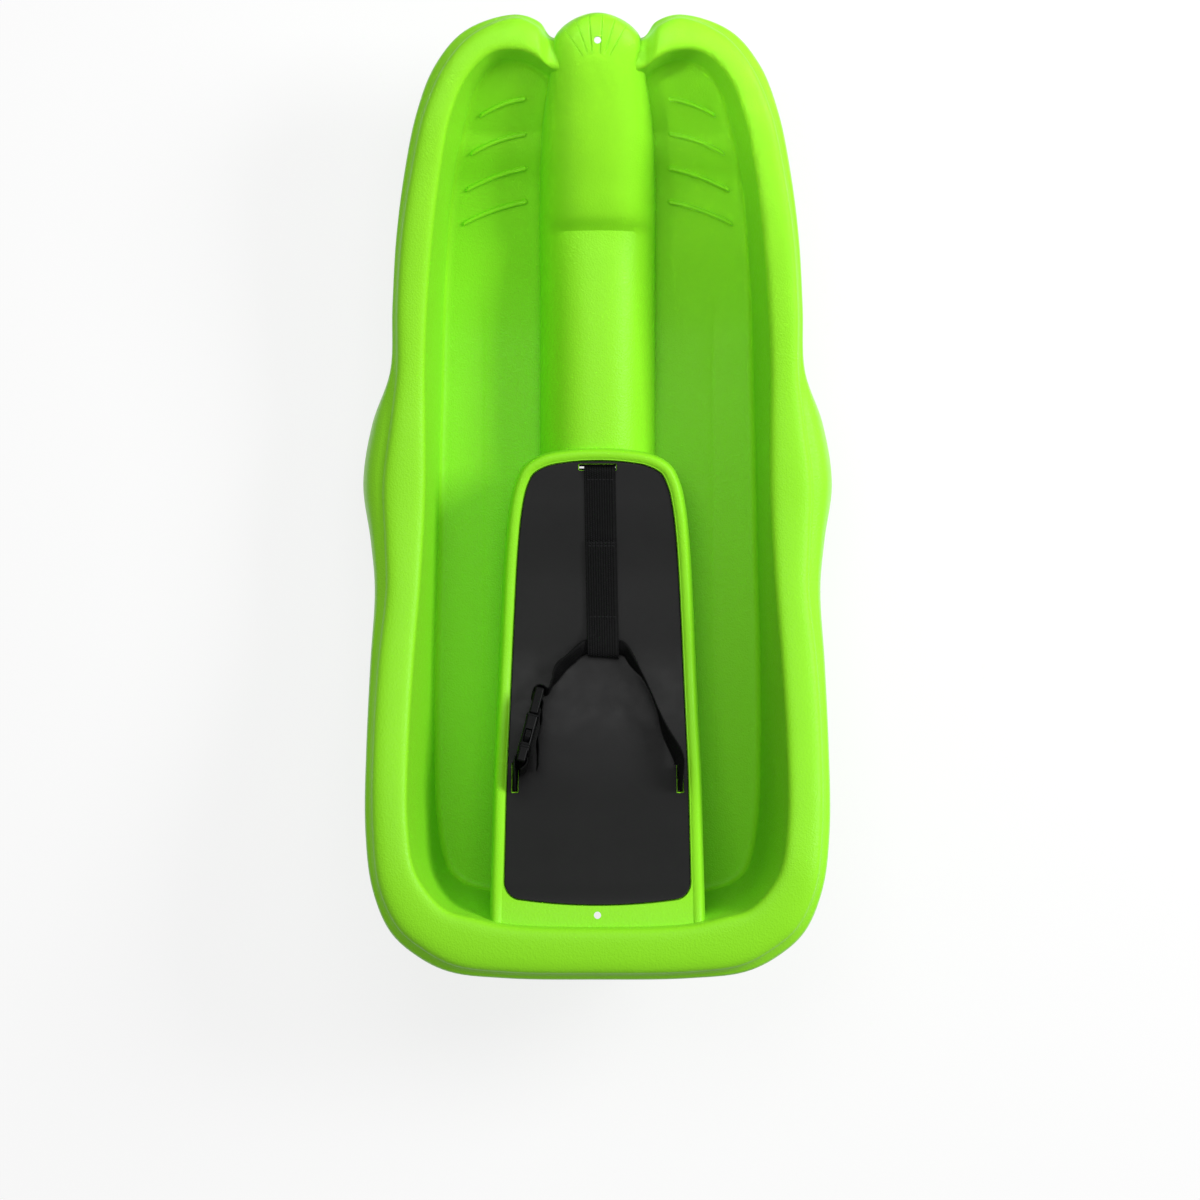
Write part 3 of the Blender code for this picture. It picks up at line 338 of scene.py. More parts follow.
def round_smooth(thing: Piece, crease: float) -> None:
    """Shade a piece smoothly, and keep the edges sharper than crease degrees.

    Args:
        thing: The piece.
        crease: The angle in degrees from which an edge stays sharp.
    """
    thing.data.polygons.foreach_set("use_smooth", [True] * len(thing.data.polygons))
    thing.data.set_sharp_from_angle(angle=math.radians(crease))
    weights = thing.modifiers.new("even shading", "WEIGHTED_NORMAL")
    weights.keep_sharp = True
    weights.weight = 75
    settle(thing)


def dress(thing: Piece, material: Material, body: str, slot: str, *nodes: str) -> None:
    """Give a finished piece its material, its body and the node that it stands for.

    Args:
        thing: The piece.
        material: Its finish.
        body: The body that it moves with.
        slot: Not used.
        nodes: The nodes that it takes the place of.
    """
    thing.data.materials.clear()
    thing.data.materials.append(material)
    thing.data.polygons.foreach_set("material_index", [0] * len(thing.data.polygons))
    thing.data.update()
    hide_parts(*nodes)
    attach(thing, body)
    LOG.info("%s: %d faces", thing.name, len(thing.data.polygons))


def feed(tree: bpy.types.NodeTree, place: Socket, value: Any) -> None:
    """Give a node's input another socket's value or a plain one."""
    if isinstance(value, Socket):
        tree.links.new(value, place)
    else:
        place.default_value = value


def wired(tree: bpy.types.NodeTree, kind: str, feeds: Mapping[str | int, Any]) -> bpy.types.Node:
    """Add a node to a tree and feed its inputs.

    Args:
        tree: The tree.
        kind: The node's type.
        feeds: For an input's name or number, the socket or the plain value that goes into it.

    Returns:
        The node.
    """
    made = tree.nodes.new(kind)
    for key, value in feeds.items():
        feed(tree, made.inputs[key], value)
    return made


def maths(tree: bpy.types.NodeTree, operation: str, *values: Socket | float) -> Socket:
    """Add a Math node to a tree.

    Args:
        tree: The tree.
        operation: What the node works out.
        *values: What goes into it, sockets or numbers.

    Returns:
        The result.
    """
    made = tree.nodes.new("ShaderNodeMath")
    made.operation = operation
    for value, place in zip(values, made.inputs, strict=False):
        feed(tree, place, value)
    return made.outputs["Value"]


class NodeKit:
    """Short calls that wire up one material."""

    def __init__(self, name: str) -> None:
        """Start a material with only its output and shader."""
        self.material = bpy.data.materials.new(name)
        self.material.use_nodes = True
        self.tree = self.material.node_tree
        self.shader = self.tree.nodes["Principled BSDF"]
        self.place = self.tree.nodes.new("ShaderNodeTexCoord").outputs["Object"]

    def feed(self, name: str, source: Socket | float) -> None:
        """Give the shader's input a socket's value or a number."""
        feed(self.tree, self.shader.inputs[name], source)

    def noise(self, scale: float, detail: float = 2.0, roughness: float = 0.5,
              stretch: Point = (1.0, 1.0, 1.0)) -> Socket:
        """Noise in the piece's own space.

        Args:
            scale: Waves to a metre.
            detail: Octaves.
            roughness: How strong the fine octaves are.
            stretch: Scale of the pattern along each axis.

        Returns:
            The noise's factor.
        """
        mapping = wired(self.tree, "ShaderNodeMapping", {"Scale": stretch, "Vector": self.place})
        made = wired(self.tree, "ShaderNodeTexNoise", {
            "Scale": scale, "Detail": detail, "Roughness": roughness, "Vector": mapping.outputs["Vector"]})
        return made.outputs["Fac"]

    def cells(self, scale: float) -> Socket:
        """Distance in a Voronoi pattern with so many cells to a metre, for leather grain."""
        made = wired(self.tree, "ShaderNodeTexVoronoi", {"Scale": scale, "Vector": self.place})
        return made.outputs["Distance"]

    def ranged(self, source: Socket, low: float, high: float,
               from_low: float = 0.0, from_high: float = 1.0) -> Socket:
        """Map a factor to another range, and keep it inside.

        Args:
            source: What is mapped.
            low: Result at from_low.
            high: Result at from_high.
            from_low: Lower end of the source's range.
            from_high: Upper end of the source's range.

        Returns:
            The mapped value.
        """
        ends = {"From Min": from_low, "From Max": from_high, "To Min": low, "To Max": high}
        return wired(self.tree, "ShaderNodeMapRange", {"Value": source, **ends}).outputs["Result"]

    def mix_colour(self, factor: Socket, a: Point, b: Point) -> Socket:
        """Mix two colours by a factor.

        Args:
            factor: 0 for the first colour, 1 for the second.
            a: The first colour.
            b: The second colour.

        Returns:
            The mixed colour.
        """
        made = self.tree.nodes.new("ShaderNodeMix")
        made.data_type = "RGBA"
        colours = [socket for socket in made.inputs if socket.type == "RGBA"]
        colours[0].default_value = (*a, 1.0)
        colours[1].default_value = (*b, 1.0)
        feed(self.tree, made.inputs[0], factor)
        return next(socket for socket in made.outputs if socket.type == "RGBA")

    def roughen(self, scale: float, detail: float, band: Pair) -> None:
        """Let the shader's roughness wander between the band's ends, with noise of this scale and detail."""
        self.feed("Roughness", self.ranged(self.noise(scale, detail), *band, 0.3, 0.7))

    def bump(self, height: Socket, strength: float, distance: float) -> Socket:
        """Bump from a height.

        Args:
            height: The height's factor.
            strength: How much of it shows.
            distance: Height of the bumps in metres.

        Returns:
            The normal.
        """
        made = wired(self.tree, "ShaderNodeBump", {
            "Strength": strength, "Distance": distance, "Height": height})
        return made.outputs["Normal"]


@dataclass(frozen=True)
class MouldedPolyethylene:
    """Semi-gloss polyethylene with a fine leather grain."""

    name: str = "lime polyethylene"
    colour: Point = (0.256, 0.7, 0.018)
    deeper: Point = (0.232, 0.665, 0.015)
    roughness: Pair = (0.36, 0.46)
    shine: Pair = (0.14, 0.55)
    refraction: float = 1.51
    grain_cells: float = 560.0
    grain_height: float = 0.00032
    flow_scale: float = 9.0

    def material(self) -> Material:
        """The finish as a material."""
        kit = NodeKit(self.name)
        flow = kit.noise(self.flow_scale, 3.0)
        kit.feed("Base Color", kit.mix_colour(flow, self.deeper, self.colour))
        kit.roughen(260.0, 3.0, self.roughness)
        grain = maths(kit.tree, "ADD", kit.cells(self.grain_cells), kit.noise(self.grain_cells * 1.6, 2.0))
        kit.feed("Normal", kit.bump(grain, 0.6, self.grain_height))
        kit.feed("IOR", self.refraction)
        facing = kit.tree.nodes.new("ShaderNodeLayerWeight").outputs["Facing"]
        kit.feed("Specular IOR Level", kit.ranged(facing, *self.shine, 0.3, 0.75))
        return kit.material


@dataclass(frozen=True)
class SatinSheet:
    """The seat panel's black plastic sheet, satin with a faint grain."""

    name: str = "satin panel"
    colour: Point = (0.0062, 0.0062, 0.0064)
    paler: Point = (0.0095, 0.0095, 0.0097)
    roughness: Pair = (0.38, 0.5)
    shine: float = 0.13
    refraction: float = 1.5
    grain_cells: float = 1100.0
    grain_height: float = 0.00008

    def material(self) -> Material:
        """The finish as a material."""
        kit = NodeKit(self.name)
        kit.feed("Base Color", kit.mix_colour(kit.noise(14.0, 4.0), self.colour, self.paler))
        kit.roughen(60.0, 5.0, self.roughness)
        grain = maths(kit.tree, "ADD", kit.cells(self.grain_cells), kit.noise(self.grain_cells * 1.5, 2.0))
        kit.feed("Normal", kit.bump(grain, 0.35, self.grain_height))
        kit.feed("IOR", self.refraction)
        kit.feed("Specular IOR Level", self.shine)
        return kit.material


@dataclass
class SledShape:
    """Heights and plan of the hull, which every piece on it follows."""

    wall: float = 0.0032
    runner_depth: float = 0.0015
    runner_width: float = 0.014
    runner_x: float = 0.113
    runner_front_y: float = 0.245
    runner_rear_y: float = -0.345
    skirt_depth: float = 0.022
    bulge_skirt_extra: float = 0.014
    floor_fillet: float = 0.008
    rim_heights: Table = ((-0.45, 0.208), (-0.36, 0.205), (-0.28, 0.19), (-0.2, 0.165), (-0.1, 0.139),
                          (0.0, 0.127), (0.08, 0.127), (0.18, 0.138), (0.28, 0.158), (0.36, 0.176),
                          (0.45, 0.186))
    floor_rise: Table = ((0.11, 0.0), (0.16, 0.002), (0.2, 0.009), (0.25, 0.026), (0.3, 0.05),
                         (0.345, 0.083))
    nose_slope: float = 0.9
    seat_heights: Table = ((-0.45, 0.196), (-0.4, 0.196), (-0.378, 0.19), (-0.35, 0.172), (-0.3, 0.138),
                           (-0.25, 0.108), (-0.2, 0.088), (-0.14, 0.079), (-0.08, 0.08), (0.0, 0.088),
                           (0.06, 0.093))
    lip_half_plan: Table = ((0.0, 0.0469), (0.03, 0.0452), (0.052, 0.0408), (0.0685, 0.031),
                            (0.077, 0.015), (0.0822, -0.008), (0.0865, -0.0485), (0.0905, -0.12),
                            (0.0935, -0.19), (0.096, -0.26), (0.0965, -0.33), (0.097, -0.4))
    seat_box_rear_y: float = -0.396
    lip_width: float = 0.0102
    panel_gap: float = 0.0009
    panel_thickness: float = 0.004
    panel_below_lip: float = 0.004
    panel_rear_y: float = -0.3745
    panel_corner_radius: float = 0.013
    panel_rear_bow: float = 0.007
    seat_gap: float = 0.0003
    lip_steps: int = 10
    corner_steps: int = 12
    crotch_web_width: float = 0.03
    lap_web_width: float = 0.025
    slot_width: float = 0.007
    crotch_slot_y: float = 0.03
    crotch_slot_room: float = 0.0065
    lap_slot_x: float = 0.0775
    lap_slot_y: float = -0.2625
    lap_slot_room: float = 0.003
    hull_slot_inset: float = 0.0008

    @property
    def floor_top(self) -> float:
        """Height of the flat floor's upper face."""
        return self.runner_depth + self.wall

    def rim_height(self, y: float) -> float:
        """Height of the rim's crest line at y."""
        return along(self.rim_heights, y)

    def floor_height(self, y: float) -> float:
        """Height of the footwell floor at y: flat on its runners, then climbing to the nose."""
        last_y, last_rise = self.floor_rise[-1]
        if y > last_y:
            return self.floor_top + last_rise + self.nose_slope * (y - last_y)
        return self.floor_top + along(self.floor_rise, y)

    def seat_height(self, y: float) -> float:
        """Height of the lip's crest at y."""
        return along(self.seat_heights, y)

    def panel_top(self, y: float) -> float:
        """Height of the seat panel's upper face at y."""
        return self.seat_height(y) - self.panel_below_lip

    def recess_floor(self, y: float) -> float:
        """Height of the recess under the panel at y."""
        return self.panel_top(y) - self.panel_thickness - self.seat_gap

    def under_seat(self, y: float) -> float:
        """Height of the skin's lower face under the panel at y."""
        return self.recess_floor(y) - self.wall

    def slope_at(self, y: float) -> float:
        """Angle of the seat at y, positive where it rises to the nose."""
        return math.atan((self.seat_height(y + 0.01) - self.seat_height(y - 0.01)) / 0.02)

    def slots(self, grow: float) -> list[Piece]:
        """Cutters for the three webbing slots.

        Args:
            grow: How much wider than the panel's slots they are, all round.

        Returns:
            The cutters.
        """
        crotch = (self.crotch_web_width + self.crotch_slot_room, self.slot_width)
        lap = (self.slot_width, self.lap_web_width + self.lap_slot_room)
        places = (("crotch slot", (0.0, self.crotch_slot_y), crotch),
                  ("right slot", (self.lap_slot_x, self.lap_slot_y), lap),
                  ("left slot", (-self.lap_slot_x, self.lap_slot_y), lap))
        found = []
        for name, (x, y), size in places:
            outline = round_box(size[0] / 2 + grow, size[1] / 2 + grow, 0.0009 + grow / 2)
            found.append(upright(name, [(x + a, y + b) for a, b in outline], 0.03, 0.2))
        return found

    def lip_line(self) -> list[Vector]:
        """Right half of the lip's outer edge, from the front to the rear."""
        ahead = (-self.lip_half_plan[1][0], self.lip_half_plan[1][1])
        line = smooth_line([ahead, *self.lip_half_plan], self.lip_steps)[self.lip_steps:]
        return [p for p in line if p.y > self.seat_box_rear_y]

    def panel_outline(self, grow: float = 0.0) -> list[Vector]:
        """Right half of the seat panel's edge, with its round rear corner.

        Args:
            grow: How far outside the panel's edge the outline runs.

        Returns:
            Points from the front centre to the rear.
        """
        edge = inset_line(self.lip_line(), self.lip_width + self.panel_gap - grow)
        rear, bow = self.panel_rear_y - grow, self.panel_rear_bow
        radius = self.panel_corner_radius + grow
        side = [p for p in edge if p.y > rear + radius + bow + 0.004]
        half = side[-1].x
        centre = Vector((half - radius, rear + radius))
        turns = [math.pi / 2 * k / self.corner_steps for k in range(self.corner_steps + 1)]
        behind = [centre + radius * Vector((math.cos(a), -math.sin(a))) for a in turns]
        behind += [Vector((centre.x * (1 - k / 16), rear)) for k in range(1, 16)]
        return [*side, *(Vector((p.x, p.y + bow * (p.x / half) ** 2)) for p in behind)]


def inset_line(line: list[Vector], distance: float) -> list[Vector]:
    """Move a plan line inward, square to itself.

    Args:
        line: The line, from the front centre to the rear.
        distance: How far it moves.

    Returns:
        The moved line.
    """
    moved = []
    for i, here in enumerate(line):
        before, after = line[max(i - 1, 0)], line[min(i + 1, len(line) - 1)]
        if i == 0:
            before = Vector((-after.x, after.y))
        run = (after - before).normalized()
        moved.append(here + Vector((run.y, -run.x)) * distance)
    return moved


def half_filled(name: str, rings: list[list[Point]], flat_first: bool, flat_last: bool,
                columns: int = 4) -> Piece:
    """Make a closed solid from half rings in plan, mirrored about x = 0, with its end rings filled.

    Args:
        name: The solid's name.
        rings: Rings of (x, y, z), each from the front centre to the rear edge's corner.
        flat_first: Whether the first ring is filled with one flat face, or else with strips.
        flat_last: The same for the last ring.
        columns: Strips across half of a bent face.

    Returns:
        The solid.
    """
    half = len(rings[0])
    around = 2 * half - 1
    points: list[Sequence[float]] = []
    for ring in rings:
        points += list(ring) + [(-x, y, z) for x, y, z in ring[-1:0:-1]]
    faces: list[Sequence[int]] = list(bridge(len(rings), around))
    shares = [1 - k / columns for k in range(1, 2 * columns)]
    for first, flat in ((0, flat_first), ((len(rings) - 1) * around, flat_last)):
        if flat:
            faces.append([first + i for i in range(around)])
            continue
        rows = []
        for i in range(1, half - 1):
            x, y, z = points[first + i]
            row = [first + i]
            for share in shares:
                points.append((x * share, y, z))
                row.append(len(points) - 1)
            rows.append([*row, first + around - i])
        for a, b in zip(rows, rows[1:], strict=False):
            faces += [(a[k], a[k + 1], b[k + 1], b[k]) for k in range(2 * columns)]
        faces.append([first, *rows[0]])
        faces.append([*rows[-1], first + around - half + 1, first + half - 1])
    return mesh_object(name, points, faces)


@dataclass
class HullMoulding:
    """The moulded hull: the tub, the tunnel with the nose dome, and the seat box, as one skin."""

    shape: SledShape
    finish: MouldedPolyethylene = field(default_factory=MouldedPolyethylene)
    steps: int = 7
    tunnel_squareness: float = 2.5
    tunnel_turns: int = 20
    tunnel_pitch: float = 0.0045
    nose_skirt_z: float = 0.16
    nose_skirt_from_y: float = 0.412
    cord_hole_diameter: float = 0.0065
    nose_hole_y: float = 0.416
    deck_hole_y: float = -0.3835
    seat_box_draft: float = 0.0042
    seat_box_ends: Pair = (-0.3877, -0.3945)
    grip_count: int = 4
    grip_first_y: float = 0.3737
    grip_pitch: float = 0.0292
    grip_inner_x: float = 0.0667
    grip_from_wall: float = 0.0125
    grip_sweep: float = 0.33
    grip_arch: float = 0.0028
    grip_radius: float = 0.0024
    grip_lift: float = 0.0013
    grooves: Sequence[tuple[Pair, Pair]] = (
        ((-0.031, 0.4285), (-0.0132, 0.4012)), ((-0.0208, 0.4357), (-0.009, 0.4032)),
        ((-0.0082, 0.4396), (-0.0052, 0.4037)), ((0.0047, 0.4396), (0.002, 0.4037)),
        ((0.0168, 0.4371), (0.0062, 0.4032)), ((0.0265, 0.4298), (0.0105, 0.4015)))
    groove_radius: float = 0.0012
    groove_lift: float = 0.0001
    bead_steps: int = 30
    groove_steps: int = 24
    wall_rows: int = 8
    fillet_rows: int = 8
    skirt_bend: tuple[float, float, float] = (0.78, 0.34, 0.004)
    flare_begins: float = 0.009
    flare_whole: float = 0.02
    rim_section: Table = ((-0.42, -0.0092), (-0.15, -0.0068), (-0.04, -0.0057), (0.015, -0.0032),
                          (0.07, -0.0012), (0.17, 0.0003), (0.36, 0.0013), (0.68, 0.001),
                          (0.86, -0.0003), (0.96, -0.0027), (1.0, -0.0065))
    channel_depth: float = 0.0009
    channel_slope: float = 0.005
    cleft_dip: Table = ((19, 0.0), (20, 0.0), (21, 0.003), (22, 0.015), (23, 0.024))
    lip_section: Table = ((-0.0016, 0.012), (-0.0007, 0.0075), (-0.0001, 0.0048), (0.0003, 0.0032),
                          (0.0012, 0.0016), (0.0025, 0.0005), (0.0042, 0.0), (0.0062, 0.0001),
                          (0.008, 0.0007), (0.0094, 0.0018))
    tunnel: Sequence[Point] = (
        (-0.02, 0.056, 0.08), (0.06, 0.056, 0.084), (0.15, 0.056, 0.085), (0.235, 0.056, 0.087),
        (0.2535, 0.056, 0.0885), (0.262, 0.056, 0.1), (0.3, 0.055, 0.123), (0.342, 0.053, 0.148),
        (0.37, 0.049, 0.164), (0.392, 0.0446, 0.177), (0.412, 0.0418, 0.185), (0.4225, 0.0396, 0.1872),
        (0.43, 0.034, 0.1876), (0.436, 0.0262, 0.1864), (0.4398, 0.0182, 0.1842),
        (0.4418, 0.0108, 0.1812), (0.4425, 0.005, 0.178))
    stations: Sequence[tuple[Pair, ...]] = (
        ((0.0, -0.4425), (0.0, -0.4352), (0.0, -0.394), (0.0, -0.386)),
        ((0.085, -0.4413), (0.082, -0.4338), (0.08, -0.3915), (0.078, -0.384)),
        ((0.1369, -0.4352), (0.131, -0.4275), (0.1114, -0.385), (0.107, -0.3785)),
        ((0.168, -0.4195), (0.1605, -0.412), (0.137, -0.3775), (0.13, -0.3715)),
        ((0.19, -0.3985), (0.182, -0.393), (0.1535, -0.3625), (0.1445, -0.3585)),
        ((0.206, -0.36), (0.1985, -0.358), (0.1665, -0.34), (0.1515, -0.338)),
        ((0.213, -0.308), (0.2052, -0.308), (0.1728, -0.3), (0.1568, -0.299)),
        ((0.2138, -0.235), (0.2065, -0.235), (0.1735, -0.235), (0.1585, -0.235)),
        ((0.2118, -0.155), (0.2035, -0.155), (0.17, -0.155), (0.158, -0.155)),
        ((0.209, -0.085), (0.197, -0.085), (0.165, -0.085), (0.1562, -0.085)),
        ((0.2137, -0.0394), (0.1985, -0.0394), (0.1626, -0.0394), (0.155, -0.0394)),
        ((0.2213, 0.013), (0.2003, 0.013), (0.1606, 0.013), (0.154, 0.013)),
        ((0.2125, 0.071), (0.1932, 0.071), (0.1606, 0.071), (0.1528, 0.071)),
        ((0.195, 0.118), (0.1878, 0.118), (0.1608, 0.118), (0.1515, 0.118)),
        ((0.1922, 0.178), (0.187, 0.178), (0.1582, 0.178), (0.15, 0.178)),
        ((0.188, 0.24), (0.1822, 0.24), (0.1528, 0.24), (0.1456, 0.24)),
        ((0.1795, 0.3), (0.1722, 0.3), (0.145, 0.298), (0.1392, 0.296)),
        ((0.1672, 0.355), (0.1592, 0.354), (0.1345, 0.349), (0.1265, 0.346)),
        ((0.15, 0.3977), (0.14, 0.395), (0.119, 0.384), (0.114, 0.381)),
        ((0.1229, 0.428), (0.1145, 0.4225), (0.096, 0.405), (0.0925, 0.401)),
        ((0.076, 0.4425), (0.076, 0.4375), (0.071, 0.407), (0.07, 0.4032)),
        ((0.053, 0.4362), (0.056, 0.431), (0.0545, 0.4005), (0.0535, 0.3968)),
        ((0.0425, 0.4245), (0.044, 0.4215), (0.043, 0.3935), (0.042, 0.39)),
        ((0.0, 0.4225), (0.0, 0.4185), (0.0, 0.388), (0.0, 0.3845)),
    )

    def section(self, skirt: Vector, outer: Vector, top: Vector, foot: Vector, dip: float) -> list[Vector]:
        """One section of the skin, from the skirt's edge over the rim to the floor.

        Args:
            skirt: Bottom of the skirt, in plan.
            outer: Outer edge of the rim.
            top: Top of the footwell wall.
            foot: Bottom of the footwell wall.
            dip: How far the rim is lowered here.

        Returns:
            The section's points in space.
        """
        rim = self.shape.rim_height(outer.y) - dip
        flare = (skirt - outer).length
        bulge = clamped((flare - self.flare_begins) / (self.flare_whole - self.flare_begins))
        skirt_z = rim - self.shape.skirt_depth - self.shape.bulge_skirt_extra * bulge
        share, down_share, down = self.skirt_bend
        bend = (*outer.lerp(skirt, share), rim - down_share * (rim - skirt_z) - down)
        crest = [(*outer.lerp(top if s > 0 else skirt, abs(s)), rim + up) for s, up in self.rim_section]
        inward = (foot - top).normalized()
        fillet = self.shape.floor_fillet
        wall_top = Vector(crest[-1])
        corner = Vector((*foot, self.shape.floor_height(foot.y)))
        wall_foot = corner + (wall_top - corner).normalized() * fillet
        begin = wall_top.lerp(wall_foot, 0.06)
        line = smooth_line([(*skirt, skirt_z), bend, *crest, begin], 3)
        line += [begin.lerp(wall_foot, k / self.wall_rows) for k in range(1, self.wall_rows)]
        end = foot + inward * fillet
        end = Vector((*end, self.shape.floor_height(end.y)))
        for k in range(self.fillet_rows + 1):
            u = k / self.fillet_rows
            line.append(wall_foot * (1 - u) ** 2 + corner * 2 * u * (1 - u) + end * u * u)
        past = foot + inward * (fillet + 0.0015)
        return [*line, Vector((*past, self.shape.floor_height(past.y)))]

    def tub(self) -> Piece:
        """The skin without its middle: skirt, rim, walls and floors."""
        lines = [smooth_line([row[k] for row in self.stations], self.steps, mirrored_ends=True)
                 for k in range(4)]
        half = len(lines[0])
        dips = tuple((s * self.steps, d) for s, d in self.cleft_dip)
        right = [self.section(*(line[i] for line in lines), along(dips, i)) for i in range(half)]
        flip = Vector((-1, 1, 1))
        whole = right + [[p * flip for p in right[i]] for i in range(half - 2, 0, -1)]
        rings, around = len(right[0]), len(whole)
        points = [whole[i][k] for k in range(rings) for i in range(around)]
        faces: list[Sequence[int]] = list(bridge(rings, around))
        inner = (rings - 1) * around
        inside = [right[i][-1] for i in range(half)]
        flat_end = max(i for i in range(half) if inside[i].y <= self.shape.floor_rise[0][0])
        slope_start = min(i for i in range(half) if inside[i].y >= self.shape.floor_rise[-1][0])
        across = 6
        columns = {}
        for i in range(flat_end, slope_start + 1):
            row = [inner + i]
            for step in range(1, 2 * across):
                points.append(inside[i] * Vector((1 - step / across, 1, 1)))
                row.append(len(points) - 1)
            columns[i] = [*row, inner + around - i]
        for i in range(flat_end, slope_start):
            a, b = columns[i], columns[i + 1]
            faces += [(a[k], b[k], b[k + 1], a[k + 1]) for k in range(2 * across)]
        rear = [inner + (around - i) % around for i in range(flat_end, 0, -1)]
        faces.append([*rear, *(inner + i for i in range(flat_end)), *columns[flat_end][:-1]])
        nose = [inner + i for i in range(slope_start + 1, half)]
        nose += [inner + around - i for i in range(half - 2, slope_start, -1)]
        faces.append([*nose, *reversed(columns[slope_start])])
        made = mesh_object("hull_moulding", points, faces)
        # The wall is added below the surface, so the flat floor, its largest face, has to look up.
        if max(made.data.polygons, key=lambda face: face.area).normal.z < 0:
            made.data.flip_normals()
        shell = made.modifiers.new("wall", "SOLIDIFY")
        shell.thickness = self.shape.wall
        shell.offset = -1
        shell.use_even_offset = True
        shell.use_quality_normals = True
        settle(made)
        return made

    def tunnel_rows(self) -> list[Point]:
        """The tunnel's (y, half-width, crest) at an even pitch, with its step and its nose kept."""
        ys: list[float] = []
        for (y0, *_), (y1, *_) in zip(self.tunnel, self.tunnel[1:], strict=False):
            pieces = max(2, round((y1 - y0) / self.tunnel_pitch))
            ys += [y0 + (y1 - y0) * i / pieces for i in range(pieces)]
        ys.append(self.tunnel[-1][0])
        widths = [(y, w) for y, w, _ in self.tunnel]
        crests = [(y, z) for y, _, z in self.tunnel]
        return [(y, along(widths, y), along(crests, y)) for y in ys]

    def tunnel_base(self, y: float) -> float:
        """Height that the tunnel's arch springs from at y."""
        turn_y = self.nose_skirt_from_y - 0.025
        climb = clamped((y - turn_y) / 0.025)
        floor = self.shape.floor_height(min(y, turn_y)) - self.shape.wall / 2
        return floor + (self.nose_skirt_z - floor) * climb

    def dome_height(self, x: float, y: float) -> float:
        """Height of the nose dome's skin at a place in plan."""
        rows = self.tunnel
        half_width = along([(r[0], r[1]) for r in rows], y)
        crest = along([(r[0], r[2]) for r in rows], y)
        base = self.tunnel_base(y)
        share = max(0.0, 1 - abs(x / half_width) ** self.tunnel_squareness)
        return base + (crest - base) * share ** (1 / self.tunnel_squareness)

    def tunnel_solid(self, name: str, inset: float, drop: float) -> Piece:
        """The tunnel's outside, or with an inset the hollow under it.

        Args:
            name: The solid's name.
            inset: How far inside the outer face it lies.
            drop: How far its straight sides go on down.

        Returns:
            The solid.
        """
        power = 2 / self.tunnel_squareness
        rings = []
        for y, half_width, crest in self.tunnel_rows():
            if half_width - inset < 0.003:
                break
            shift = inset * clamped((y - 0.41) / 0.02)
            base = self.tunnel_base(y)
            ring = []
            for k in range(2 * self.tunnel_turns + 1):
                turn = math.pi * k / (2 * self.tunnel_turns)
                c, s = math.cos(turn), max(math.sin(turn), 0.0)
                x = math.copysign(abs(c) ** power, c) * (half_width - inset)
                ring.append((x, y - shift, base + s**power * (crest - inset - base)))
            if drop:
                ring = [(ring[0][0], y - shift, base - drop), *ring, (ring[-1][0], y - shift, base - drop)]
            rings.append(ring)
        return lofted(name, rings)

    def seat_box(self) -> Piece:
        """Outside of the raised box between the footwells, up to the lip round the panel."""
        seat = self.shape.seat_height
        base = self.shape.floor_top - 0.35 * self.shape.wall

        def ring(offset: float, height: Callable[[float], float], share: float = 1.0) -> list[Point]:
            """The lip's line moved inward by offset, at a height that depends on y."""
            moved = inset_line(self.shape.lip_line(), offset)
            low, high = self.seat_box_ends
            rear = low + (high - low) * share
            moved.append(Vector((moved[-1].x, rear)))
            return [(p.x, max(p.y, rear), height(p.y)) for p in moved]

        rings = []
        for k in range(5):
            u = k / 5
            rings.append(ring(-self.seat_box_draft * (1 - u) - 0.0016 * u,
                              lambda y, u=u: base * (1 - u) + (seat(y) - 0.012) * u, u))
        for inward, below in self.lip_section:
            rings.append(ring(inward, lambda y, below=below: seat(y) - below))
        return half_filled("seat box", rings, True, False)

    def seat_hollow(self) -> Piece:
        """The open space under the seat, which runs on under the rear rim."""
        shape = self.shape
        wall, rear = shape.wall, shape.panel_rear_y
        line = [p for p in inset_line(shape.lip_line(), wall) if p.y > rear + 0.002]
        line += [Vector((line[-1].x, y)) for y in (rear - 0.002, rear - 0.005, shape.seat_box_rear_y,
                                                   shape.seat_box_rear_y - 0.016)]

        def ceiling(y: float) -> float:
            """Top of the hollow at y: it steps up behind the panel."""
            behind = clamped((rear - 0.002 - y) / 0.003)
            under_panel = shape.under_seat(y)
            return under_panel + (shape.seat_height(y) - wall - under_panel) * behind

        def ring(draft: float, height: Callable[[float], float]) -> list[Point]:
            """The hollow's line, wider by the draft."""
            return [(p.x + draft * min(1.0, p.x / 0.02), p.y, height(p.y)) for p in line]

        rings = [ring(self.seat_box_draft, lambda y: -0.03),
                 ring(self.seat_box_draft, lambda y: shape.floor_top - 0.7 * wall),
                 ring(0.0, ceiling)]
        return half_filled("seat hollow", rings, True, False)

    def recess(self) -> Piece:
        """What is cut from the seat box for the panel to lie in."""
        edge = self.shape.panel_outline(self.shape.panel_gap)
        rings = [[(p.x, p.y, self.shape.recess_floor(p.y)) for p in edge], [(p.x, p.y, 0.26) for p in edge]]
        return half_filled("panel recess", rings, False, True)

    def runner_line(self, side: Side) -> list[Vector]:
        """Points along a runner, on the floor's upper face."""
        first, last = self.shape.runner_rear_y, self.shape.runner_front_y
        ys = [first + (last - first) * i / 60 for i in range(61)]
        return [Vector((side.value * self.shape.runner_x, y, self.shape.floor_height(y))) for y in ys]

